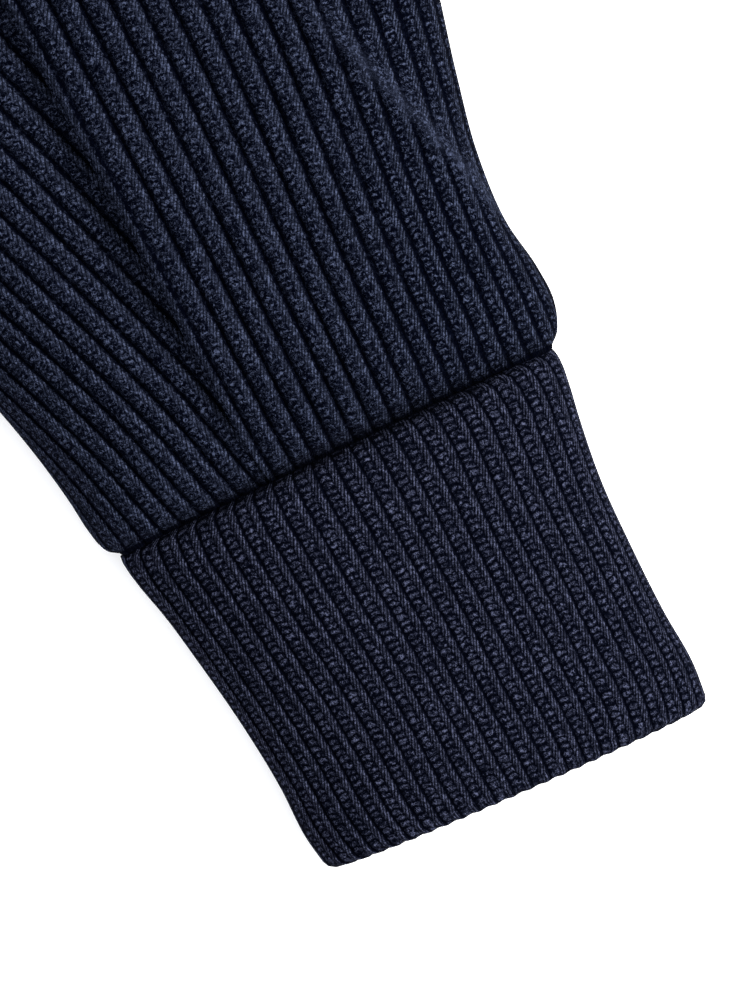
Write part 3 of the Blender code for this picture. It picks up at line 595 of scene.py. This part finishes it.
        across = np.concatenate([leftPart[:, 3], tuck[:, 3], rollPart[:, 3], rightPart[:, 3]]) - 0.5
        topShares = np.concatenate([leftShare, np.full(1 + len(turns), creaseShare), share])
        roof = inside(topShares, across, False)
        below = inside(underShares, underPart[:, 3] - 0.5, True)
        inner.append(np.vstack([roof, below, roof[:1]]))
    return np.array(outer), thinned(inner, look["innerEvery"])


lean = sleeveAxis["lean"]
upWay = np.array([-math.sin(lean), math.cos(lean), 0.0])
seamShadeReach = 0.5  # how far the painted shade of the cuff seam reaches up and down


def buildSleeve(name, node, mirrored, fineStep):
    columns = ribColumns(-sleeve["ribsEachWay"], sleeve["ribsEachWay"])
    outer, inner = sleeveGrid(sleeve, fineStep, columns)
    toSide = smoothStep(np.abs(offSleeve(outer[0][:, 0], outer[0][:, 1])[1]), 38, 50)
    bulge = -(0.5 + 0.8 * toSide)[:, None] * upWay
    grid = closedShell(outer, inner, bulge, np.array([-0.5, 0.0, 0.0]))

    # the nap over the stitches, thinner where worn, and raised on the ridge so the material paints a highlight
    # there
    def napAndRidgeHighlight(points):
        up, across = offSleeve(points[:, 0], points[:, 1])
        ridge = ridgeShows(up, across)
        return 1 - 0.8 * stitchesShow(up, across) * (1 - ridge) + 0.85 * ridge

    # painted shade along the seam with the cuff
    def seamShade(points):
        up, across = offSleeve(points[:, 0], points[:, 1])
        leftUp, left, rightUp, right = sleeve["sections"][0][:4]
        return 1 - smoothStep(up - np.interp(across, (left, right), (leftUp, rightUp)), 0.0, seamShadeReach)

    piece = makePiece(name, grid, knit, [node], mirrored, napAndRidgeHighlight, seamShade)


cuff = {
    # up at the middle, tilt, left, right, crown, widest line
    "sections": [
        (-0.2, -0.053, -53.2, 52.3, 16.5, 7.5), (-1.6, -0.054, -53.4, 52.6, 20.5, 7.5),
        (-4, -0.055, -53.3, 52.6, 22.5, 7.5), (-8, -0.057, -52.8, 52, 24, 7),
        (-16, -0.06, -51.2, 50.3, 25, 7), (-30, -0.065, -49.3, 47.9, 25, 7),
        (-46, -0.069, -47.6, 46.7, 24.5, 7), (-62, -0.072, -46.8, 46.1, 23.5, 7),
        (-76, -0.079, -47.1, 46.2, 22, 7), (-82, -0.088, -46.4, 45.3, 20.5, 7)],
    "ribs": 24, "wall": 5.4, "rise": 0.9, "flatter": 0.5, "flatterFrom": (-36, -8),
    "course": 1.54, "loop": 0.3, "foldReach": 2.4, "scallop": 0.14, "roundness": 2.1,
    "fineSteps": 4, "farSteps": 1.5, "innerEvery": 16,
    "flat": (0.25, 0.085), "area": 0.0185,
}
cuffRib = {  # one rib of the fine knit from the middle of a purl ladder to the next
    "at": [0.0, 0.1, 0.2, 0.27, 0.33, 0.39, 0.45, 0.52, 0.58, 0.63, 0.67, 0.71, 0.78, 0.89, 1.0],
    "height": [-0.06, -0.04, 0.0, 0.12, 0.34, 0.55, 0.63, 0.58, 0.38, 0.05, -0.38, -0.34, -0.14, -0.08, -0.06],
}


def cuffRibHeight(wales):
    return np.interp(wales % 1.0, cuffRib["at"], cuffRib["height"])


def loopRelief(wale, course):  # the same loops as in the material, as real relief
    at = wale % 1.0
    side = (at - fineRib["knitPlace"]) / fineRib["knitHalf"]
    swing = 2 * ((course - fineRib["slant"] * side) % 1.0) - 1
    knitLoop = np.sqrt(np.clip(1 - np.abs(swing) ** 1.5, 0, 1) * np.clip(1 - np.abs(side) ** 2.2, 0, 1))
    reach = np.minimum(at, 1 - at) / fineRib["purlHalf"]
    barSwing = 2 * ((course + 0.5 + 0.16 * reach**2) % 1.0) - 1
    purlLoop = np.sqrt(np.clip(1 - np.abs(barSwing) ** 1.3, 0, 1) * np.clip(1 - reach**2.6, 0, 1))
    return np.maximum(knitLoop, 0.9 * purlLoop)


def cuffGrid(look, stepsPerCourse):
    table = np.array(look["sections"], float)
    rows = np.arange(table[0, 0], table[-1, 0], -look["course"] / stepsPerCourse)
    rows = np.append(rows, table[-1, 0])[::-1]
    tilt, left, right, crown, widest = [smoothCurve(-table[:, 0], table[:, k], -rows) for k in range(1, 6)]
    offsets = np.array(cuffRib["at"][:-1])
    wales = (np.arange(look["ribs"])[:, None] + offsets[None, :]).ravel()
    wales = np.append(wales, look["ribs"])
    shares = np.linspace(0, 1, 501)
    outer, inner = [], []
    for k, row in enumerate(rows):
        lineAcross = left[k] + (right[k] - left[k]) * shares
        heights = crownHeight(shares, crown[k], widest[k], look["roundness"])
        arc = runningTotal(np.hypot(np.diff(lineAcross), np.diff(heights)))
        wander = 0.05 * unevenness(wales * 1.1, row / 6.0, 2.0)
        wander = wander * np.clip(np.minimum(wales, look["ribs"] - wales), 0, 1)
        share = np.interp(arc[-1] * (wales + wander) / look["ribs"], arc, shares)
        across = np.interp(share, shares, lineAcross)
        length = right[k] - left[k]
        edgeFade = np.minimum(1, np.minimum(share, 1 - share) * length / 3.5)
        course = row / look["course"]
        relief = look["rise"] * cuffRibHeight(wales)
        relief = relief * (1 - look["flatter"] * smoothStep(across, *look["flatterFrom"]))
        relief = relief + look["loop"] * (loopRelief(wales, course) - 0.4)
        relief = relief + 0.1 * unevenness(wales * 2.0, row / 3.0, 0.7)
        height = np.interp(share, shares, heights) + edgeFade * relief

        def pack(acrossAt, heightAt, waleAt):
            up = row + tilt[k] * acrossAt
            x, y = onSleeve(up, acrossAt)
            return np.stack([x, y, heightAt, waleAt, np.full_like(acrossAt, course)], 1)

        topPart = pack(across, height, wales)
        underShares = underPlaces(length)
        underAcross = left[k] + length * underShares
        nearest = np.minimum(underShares, 1 - underShares) * length
        underPart = pack(underAcross, underHeight(nearest, widest[k]),
                         look["ribs"] + (1 - underShares) * length / arc[-1] * look["ribs"])
        outer.append(np.vstack([topPart, underPart, topPart[:1]]))
        inset = look["wall"] + 1.5
        low, high = left[k] + inset, right[k] - inset
        insideAcross = low + (high - low) * (across - left[k]) / length
        insideHeight = np.interp(share, shares, heights) - look["wall"]
        insideHeight = np.maximum(insideHeight, look["wall"] * floorShare + leastHollow)
        roof = pack(insideAcross, insideHeight, wales)
        floorTop = np.full(len(underShares), look["wall"] * floorShare)
        below = pack(low + (high - low) * underShares, floorTop, underPart[:, 3])
        inner.append(np.vstack([roof, below, roof[:1]]))
    return np.array(outer), thinned(inner, look["innerEvery"])


def buildCuff(name, node, mirrored, stepsPerCourse):
    outer, inner = cuffGrid(cuff, stepsPerCourse)
    wales = outer[0][:, 3]
    # each rib's turn reaches a little further
    scallop = cuff["scallop"] * np.cos(2 * math.pi * (wales % 1.0) + math.pi)
    fold = -(cuff["foldReach"] + scallop)[:, None] * upWay
    grid = closedShell(outer, inner, fold, 0.4 * upWay)

    # painted shade along the seam with the sleeve
    def seamShade(points):
        up, across = offSleeve(points[:, 0], points[:, 1])
        middle, tilt = cuff["sections"][0][:2]
        return 1 - smoothStep(middle + tilt * across - up, 0.0, seamShadeReach)

    piece = makePiece(name, grid, rib, [node], mirrored, seamShade=seamShade)


stageLook = {
    "floor": (0.95, 0.95, 0.955, 1), "floorGlow": 0.12, "floorSize": 3.2, "floorSteps": 16,
    "floorDrop": 0.0004, "lens": 100.0, "sensor": 36.0, "height": 220.0, "centre": (0.4838, -0.2342),
    "clothHeight": 0.0085, "sky": (0.97, 0.98, 1.0, 1), "skyStrength": 1.45,
}
lamps = [
    # name, place, target, size, power, colour
    ("key", (2.1, 0.5, 1.6), (0.2, -0.1, 0), 1.3, 135, (1.0, 0.985, 0.96)),
    ("fill", (-1.2, -1.4, 1.9), (0.1, -0.1, 0), 1.6, 6, (0.93, 0.96, 1.0)),
]


def buildStage():
    mesh = bpy.data.meshes.new("floor")
    size, steps = stageLook["floorSize"], stageLook["floorSteps"]
    side = steps + 1
    points = [(x * size / steps - size / 2, y * size / steps - size / 2, -stageLook["floorDrop"])
              for y in range(side) for x in range(side)]
    faces = [(r * side + c, r * side + c + 1, (r + 1) * side + c + 1, (r + 1) * side + c)
             for r in range(steps) for c in range(steps)]
    mesh.from_pydata(points, [], faces)
    floor = addObject("floor", mesh)
    material, w, shader = newMaterial("paleFloor")
    w.feedAll(shader, {"Base Color": stageLook["floor"], "Roughness": 0.9,
                       "Emission Color": stageLook["floor"], "Emission Strength": stageLook["floorGlow"]})
    mesh.materials.append(material)


def addLight(name, place, target, size, power, colour):
    light = bpy.data.lights.new(name, "AREA")
    light.shape = "DISK"
    light.size = size
    light.energy = power
    light.color = colour
    lamp = addObject(name, light)
    lamp.location = place
    way = np.array(target) - np.array(place)
    flat = math.hypot(way[0], way[1])
    turn = math.atan2(way[1], way[0]) - math.pi / 2 if flat else 0
    lamp.rotation_euler = (math.atan2(flat, -way[2]), 0, turn)


def buildView():
    centre = stageLook["centre"]
    distance = stageLook["lens"] / stageLook["sensor"] * stageLook["height"] * mm
    data = bpy.data.cameras.new("camera")
    data.lens = stageLook["lens"]
    data.sensor_width = stageLook["sensor"]
    data.clip_start = 0.02
    camera = addObject("camera", data)
    camera.location = (centre[0], centre[1], stageLook["clothHeight"] + distance)
    bpy.context.scene.camera = camera
    world = bpy.data.worlds.new("studio")
    world.use_nodes = True
    sky = world.node_tree.nodes["Background"]
    Wiring(world.node_tree).feedAll(sky, {"Color": stageLook["sky"], "Strength": stageLook["skyStrength"]})
    bpy.context.scene.world = world
    bpy.context.scene.view_settings.view_transform = "Standard"
    for lamp in lamps:
        addLight(*lamp)


buildStage()
buildView()
print("stage, camera and light ready")

buildSleeve("leftSleeve", "sleeve_left", False, sleeve["fineStep"])
buildSleeve("rightSleeve", "sleeve_right", True, sleeve["farStep"])
buildCuff("leftCuff", "cuff_left", False, cuff["fineSteps"])
buildCuff("rightCuff", "cuff_right", True, cuff["farSteps"])
print("sleeves and cuffs ready")


# Body: walls of knit that lie on each other, drawn row by row up the garment

seamRoll = 0.8  # each edge turns in by this much, which leaves the seams as soft grooves
sideRoll = 1.6  # how far from its sides a wall starts to round over


def sideX(y):
    above, tall = y - body["hemHeight"], body["underarmY"] - body["hemHeight"]
    bloused = 1.0 - np.exp(-above / body["blouse"])
    tapered = body["lowHalf"] + (body["half"] - body["lowHalf"]) * above / tall
    return body["seamHalf"] + (tapered - body["seamHalf"]) * bloused


def outerX(y):
    if y <= body["underarmY"]:
        return float(sideX(y))
    if y <= body["shoulderY"]:
        return float(armholeEdge(y))
    share = (body["neckSideY"] - y) / (body["neckSideY"] - body["shoulderY"])
    return body["neckHalf"] + share * (body["armholeHalf"] - body["neckHalf"])


def innerX(y):
    edge = body["bandHalf"] + body["gap"]
    rise = (y - body["frontNeckY"]) / (body["neckSideY"] - body["frontNeckY"])
    return edge if rise <= 0 else max(edge, body["neckHalf"] * rise ** (1 / 2.2) + body["gap"])


def frontNeckY(x):
    deep = body["neckSideY"] - body["frontNeckY"]
    return body["frontNeckY"] + deep * (np.abs(x) / body["neckHalf"]) ** 2.2


def backNeckY(x):
    return body["backNeckY"] + (body["neckSideY"] - body["backNeckY"]) * (np.abs(x) / body["neckHalf"]) ** 2


def hemX(y):
    return body["hemHalf"] + (body["seamHalf"] - body["hemHalf"]) * (y / body["hemHeight"]) ** 3


def layerRise(x):  # the left front climbs over the right band
    climbed = smoothStep(x, body["bandHalf"], body["bandHalf"] + body["climb"])
    return (body["bandWall"] + body["gap"]) * (1 - climbed)


def wallShell(rows, columns, left, right, topAt, bottomAt, pitch, course, highest=None):
    outer, inner = [], []
    for y in rows:
        start, end = left(y), right(y)
        middle = (start + end) / 2
        core = np.clip(columns, min(start + sideRoll, middle), max(end - sideRoll, middle))
        inwards = sideRoll * np.array([0, 0.15, 0.45])
        x = np.concatenate([start + inwards, core, end - inwards[::-1]])
        near = np.clip(np.minimum(x - start, end - x) / sideRoll, 0, 1)
        rounding = np.sqrt(1 - (1 - near) ** 2)
        yy = np.full_like(x, y) if highest is None else np.minimum(y, highest(x))
        top, bottom = topAt(x, yy), bottomAt(x, yy)
        mid = (top + bottom) / 2
        upper, lower = mid + (top - mid) * rounding, mid - (mid - bottom) * rounding
        for rowsOut, height in ((outer, upper), (inner, lower)):
            rowsOut.append(np.stack([x, yy, height, x / pitch + 0.5, yy / course], 1))
    bulge = rounding[:, None] * np.array([[0, seamRoll, 0]])
    return closedShell(np.array(outer), np.array(inner), -bulge, bulge)


def wallRows(look):  # rows up a wall, closer together round the neck
    return np.concatenate([np.arange(look["from"], look["curveFrom"], look["step"]),
                           np.arange(look["curveFrom"], look["to"], look["curveStep"]), [look["to"]]])


def wallColumns(first, last, at, pitch):  # columns of points across a wall, rib by rib
    return (np.arange(first, last)[:, None] - 0.5 + np.array(at)[None, :]).ravel() * pitch


fronts = {
    # soft waves: x, y, reach x, reach y, height
    "swells": [(225, 330, 22, 120, 2.4), (120, 180, 30, 110, 1.6), (190, 110, 26, 50, 2.2),
               (90, 480, 36, 90, 1.4)],
    "from": 70.7, "step": 5.5, "curveFrom": 600.0, "curveStep": 2.2, "to": 679.0, "swellEdge": 30.0,
    "columns": [0.0, 0.09, 0.2, 0.45, 0.7, 0.92], "pitch": 6.0, "rise": 1.3, "course": 1.5,
    "flat": (0.26, 0.61), "area": 0.129,
}


def buildFront(name, node, sign):
    pitch = fronts["pitch"]

    def low(x, y):
        waves = swells(fronts["swells"], x, y)
        outerAt = np.array([outerX(v) for v in np.unique(y)])
        edgeAt = np.interp(y, np.unique(y), outerAt)
        near = np.clip(np.minimum(edgeAt - x, x - body["bandHalf"]) / fronts["swellEdge"], 0, 1)
        return body["wall"] + body["gap"] + (layerRise(x) if sign > 0 else 0) + waves * near

    def top(x, y):
        bumpy = 0.12 * unevenness(x / 2.6, y / 4.2)
        return low(x, y) + body["wall"] + fronts["rise"] * ribHeight(x / pitch) + bumpy

    columns = wallColumns(2, 47, fronts["columns"], pitch)
    grid = wallShell(wallRows(fronts), columns, innerX, outerX, top, low, pitch, fronts["course"])
    piece = makePiece(name, grid, knit, [node], sign < 0)


back = {
    "from": 70.7, "step": 14.0, "curveFrom": 630.0, "curveStep": 3.0, "to": 679.5,
    "columns": [0.0, 0.2, 0.5, 0.9], "pitch": 6.0, "rise": 0.5, "worn": 0.7, "course": 1.5,
    "flat": (0.555, 0.615), "area": 0.304,
}


def buildBack():
    pitch = back["pitch"]

    def highest(x):
        across = np.minimum(np.abs(x), body["armholeHalf"])
        run = (across - body["neckHalf"]) / (body["armholeHalf"] - body["neckHalf"])
        shoulder = body["neckSideY"] - run * (body["neckSideY"] - body["shoulderY"])
        return np.where(np.abs(x) < body["neckHalf"], backNeckY(x), shoulder) - seamRoll

    def top(x, y):
        return body["wall"] - back["rise"] * (1 - ribHeight(x / pitch)) * back["worn"]

    def bottom(x, y):
        return np.zeros_like(x)

    columns = wallColumns(-46, 47, back["columns"], pitch)
    grid = wallShell(wallRows(back), columns, lambda y: -outerX(y), outerX, top, bottom, pitch,
                     back["course"], highest)
    piece = makePiece("backPanel", grid, knit, ["back"])


hem = {
    "pitch": 4.4, "rise": 0.9, "course": 1.54, "backDrop": 0.2,
    "rows": [0.8, 4, 8, 14, 20, 27, 34, 41, 48, 55, 61, 66, 69.2],
    "frontFlat": (0.237, 0.07), "frontArea": 0.0163, "backFlat": (0.513, 0.07), "backArea": 0.0355,
}


def fineRibHeight(x):
    return cuffRibHeight(x / hem["pitch"] + 0.5)


hemColumns = [0.0, 0.14, 0.27, 0.35, 0.45, 0.58, 0.67, 0.78]


def buildHems():
    pitch = hem["pitch"]
    columns = wallColumns(3, 59, hemColumns, pitch)
    wide = wallColumns(-59, 60, [0.0, 0.25, 0.5, 0.75], pitch)

    def plain(x, y):
        return np.zeros_like(x)

    grid = wallShell(hem["rows"], wide, lambda y: -hemX(y), hemX,
                     lambda x, y: body["wall"] - hem["backDrop"] + 0 * x, plain,
                     pitch, hem["course"])
    piece = makePiece("backHem", grid, rib, ["hem_back"])
    for name, node, sign in (("leftHem", "hem_front_left", 1), ("rightHem", "hem_front_right", -1)):
        def low(x, y):
            return body["wall"] + body["gap"] + (layerRise(x) if sign > 0 else 0) + 0 * x

        def top(x, y):
            bumpy = 0.08 * unevenness(x / 2, y / 3)
            return low(x, y) + body["bandWall"] + hem["rise"] * fineRibHeight(x) + bumpy

        grid = wallShell(hem["rows"], columns, lambda y: body["bandHalf"] + body["gap"], hemX, top, low,
                         pitch, hem["course"])
        piece = makePiece(name, grid, rib, [node], sign < 0)


bands = {"rise": 0.9, "step": 5.0, "lastStep": 4.0, "neckRib": 36.0, "belowTop": 2.0,
         "flat": (0.03, 0.641), "area": 0.0192}


def buildBands():
    pitch = hem["pitch"]
    highestY = float(frontNeckY(body["bandHalf"])) + bands["neckRib"] - bands["belowTop"]
    rows = np.concatenate([np.arange(seamRoll, highestY - bands["lastStep"], bands["step"]),
                           [highestY - seamRoll]])
    columns = wallColumns(-4, 5, hemColumns, pitch)
    columns = columns[np.abs(columns) < body["bandHalf"] - sideRoll]
    under = body["wall"] + body["gap"]
    for name, node, low, rise, rest in (
            ("rightBand", "band_right", under, 0.0, "backPanel"),
            ("leftBand", "band_left", under + body["bandWall"] + body["gap"], bands["rise"], "rightBand")):
        def top(x, y):
            bumpy = 0.08 * unevenness(x / 2, y / 3) if rise else 0
            return low + body["bandWall"] + rise * fineRibHeight(x) + bumpy

        def bottom(x, y):
            return np.full_like(x, low)

        grid = wallShell(rows, columns, lambda y: -body["bandHalf"], lambda y: body["bandHalf"], top, bottom,
                         pitch, hem["course"])
        piece = makePiece(name, grid, rib, [node])


collar = {"lean": 0.42, "rows": [0.4, 3, 7, 12, 17, 22, 27, 31, 34, 35.2], "rise": 0.9,
          "worn": 0.4, "topRoll": 0.7, "frontPoints": 171, "turnAngle": 72, "turnPoints": 9, "backPoints": 60,
          "flat": (0.39, 0.036), "area": 0.0138}


def buildCollar():  # one strip from the right front over the back of the neck to the left front
    half = body["bandWall"] / 2
    turn = half + body["gap"] / 2
    start = body["bandHalf"] + body["gap"]
    neck = body["neckHalf"]
    count = collar["frontPoints"]
    x = [start + (neck - start) * k / (count - 1) for k in range(count)]
    angle = [90.0] * count
    height = [half + 2 * turn] * count
    for a in np.linspace(collar["turnAngle"], -collar["turnAngle"], collar["turnPoints"]):
        x.append(neck + turn * math.cos(math.radians(a)))
        angle.append(float(a))
        height.append(half + turn + turn * math.sin(math.radians(a)))
    for at in np.linspace(neck, 0, collar["backPoints"]):
        x.append(float(at))
        angle.append(-90.0)
        height.append(half)
    x, angle, height = np.array(x), np.array(angle), np.array(height)
    at = np.minimum(x, neck)
    low = np.where(angle == 90, frontNeckY(at), np.where(angle == -90, backNeckY(at), body["neckSideY"]))
    path = runningTotal(np.hypot(np.hypot(np.diff(x), np.diff(low)), np.diff(height)))
    lean = collar["lean"] * np.maximum(0, at - start) / (neck - body["bandHalf"])
    lift, out = np.sin(np.radians(angle)), np.cos(np.radians(angle))
    edge = np.clip(path / sideRoll, 0, 1)
    rounding = np.sqrt(1 - (1 - edge) ** 2)
    wale = path / hem["pitch"]
    ribs = collar["rise"] * cuffRibHeight(wale)
    outer, inner = [], []
    for reach in collar["rows"]:
        for rows, face in ((outer, 1), (inner, -1)):
            ridge = ribs if face > 0 else 0 * x
            ridge = np.where(angle == 90, ridge, ridge * collar["worn"])
            away = face * half * rounding + ridge * rounding
            for side in (-1, 1):
                climb = np.where((angle == 90) & (side > 0), layerRise(x), 0)
                strip = np.stack([side * (x - reach * lean) + side * out * away,
                                  low + reach * np.sqrt(1 - lean**2),
                                  height + climb + lift * away,
                                  side * (wale - wale[-1]), np.full_like(x, reach / hem["course"])], 1)
                if side < 0:
                    row = strip
                else:
                    rows.append(np.vstack([row, strip[::-1][1:]]))
    around = np.concatenate([rounding, rounding[::-1][1:]])
    bulge = around[:, None] * np.array([[0, seamRoll * collar["topRoll"], 0]])
    grid = closedShell(np.array(outer), np.array(inner), -bulge, bulge)
    piece = makePiece("neckRib", grid, rib, ["collar"])


buildBack()
buildFront("leftFront", "front_left", 1)
buildFront("rightFront", "front_right", -1)
buildHems()
buildBands()
buildCollar()
print("body ready")

fastening = {  # buttons stay as CAD solids; thread and buttonholes are added
    "count": 5, "holeReach": 1.84, "thread": 0.3, "strands": (-0.5, 0.0, 0.5), "dip": 1.3,
    "holeHalf": 10.6, "holeWidth": 1.5, "cord": 0.6, "stitches": 60, "recess": 0.7, "holeDrop": 0.35,
    "resin": (0.006, 0.0075, 0.014, 1), "swirl": (0.014, 0.017, 0.03, 1), "roughness": 0.45, "specular": 0.12,
}


def resinMaterial():
    material, w, shader = newMaterial("buttonResin")
    place = w.add("ShaderNodeTexCoord").outputs["Object"]
    swirl = w.remap(w.noise(place, 160.0, 3.0, 0.6, 2.5), 0.42, 0.62)
    wear = w.noise(place, 900.0, 3.0, 0.7)
    rough = fastening["roughness"]
    w.feedAll(shader, {
        "Base Color": w.mix(swirl, fastening["resin"], fastening["swirl"]),
        "Specular IOR Level": fastening["specular"],
        "Roughness": w.remap(wear, 0.3, 0.7, rough, rough + 0.16), "Normal": w.bump(wear, 0.04 * mm)})
    return material


def tubeGrid(path, radius, closed=False, sides=8):  # rings along a path; open ends close to a point
    path, rings = np.asarray(path, float), []
    for k, point in enumerate(path):
        before = path[(k - 1) % (len(path) - 1)] if closed else path[max(k - 1, 0)]
        after = path[(k + 1) % (len(path) - 1)] if closed else path[min(k + 1, len(path) - 1)]
        ahead = (after - before) / np.linalg.norm(after - before)
        side = np.cross(ahead, (0.0, 0.0, 1.0) if abs(ahead[2]) < 0.9 else (0.0, 1.0, 0.0))
        side /= np.linalg.norm(side)
        over = np.cross(side, ahead)
        size = radius[k] if np.ndim(radius) else radius
        turns = np.linspace(0, 2 * math.pi, sides + 1)
        ring = point + size * (np.cos(turns)[:, None] * side + np.sin(turns)[:, None] * over)
        ring[-1] = ring[0]
        rings.append(np.column_stack([ring, 0.5 + 0 * turns, np.full(sides + 1, k * 0.25)]))
    if not closed:
        ends = [np.tile(np.append(point, (0.5, 0.0)), (sides + 1, 1)) for point in (path[0], path[-1])]
        rings = [ends[0]] + rings + [ends[1]]
    return np.array(rings)


def buildFastenings():
    resin = resinMaterial()
    for number in range(1, fastening["count"] + 1):
        node = f"button_{number}"
        low, high = np.array(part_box(node)) / mm
        for slot in bpy.data.objects[node].material_slots:
            slot.material = resin
        y = (low[1] + high[1]) / 2 - hemY
        face, reach = high[2] - fastening["recess"], fastening["holeReach"]
        across = np.linspace(-1, 1, 11)
        strands = []
        for line in (-reach, reach):
            for shift in fastening["strands"]:
                arch = face + 0.25 + 0.25 * (1 - abs(shift)) - fastening["dip"] * np.abs(across) ** 6
                bow = y + line + shift * (1 - 0.3 * across**2)
                spots = np.column_stack([across * reach, bow, arch])
                strands.append(tubeGrid(spots, fastening["thread"], sides=6))
        makePiece(f"thread{number}", np.concatenate(strands), rib, [])
        turns = np.linspace(0, 2 * math.pi, 4 * fastening["stitches"] + 1)
        along = np.sign(np.cos(turns)) * np.abs(np.cos(turns)) ** 0.7 * fastening["holeHalf"]
        drop = np.full_like(turns, low[2] - fastening["holeDrop"])
        shape = np.column_stack([along, y + np.sin(turns) * fastening["holeWidth"], drop])
        ridges = fastening["cord"] * (0.86 + 0.14 * np.cos(turns * fastening["stitches"]))
        shape[-1], ridges[-1] = shape[0], ridges[0]
        makePiece(f"buttonhole{number}", tubeGrid(shape, ridges, closed=True), rib, [])


buildFastenings()
print("fastenings ready")
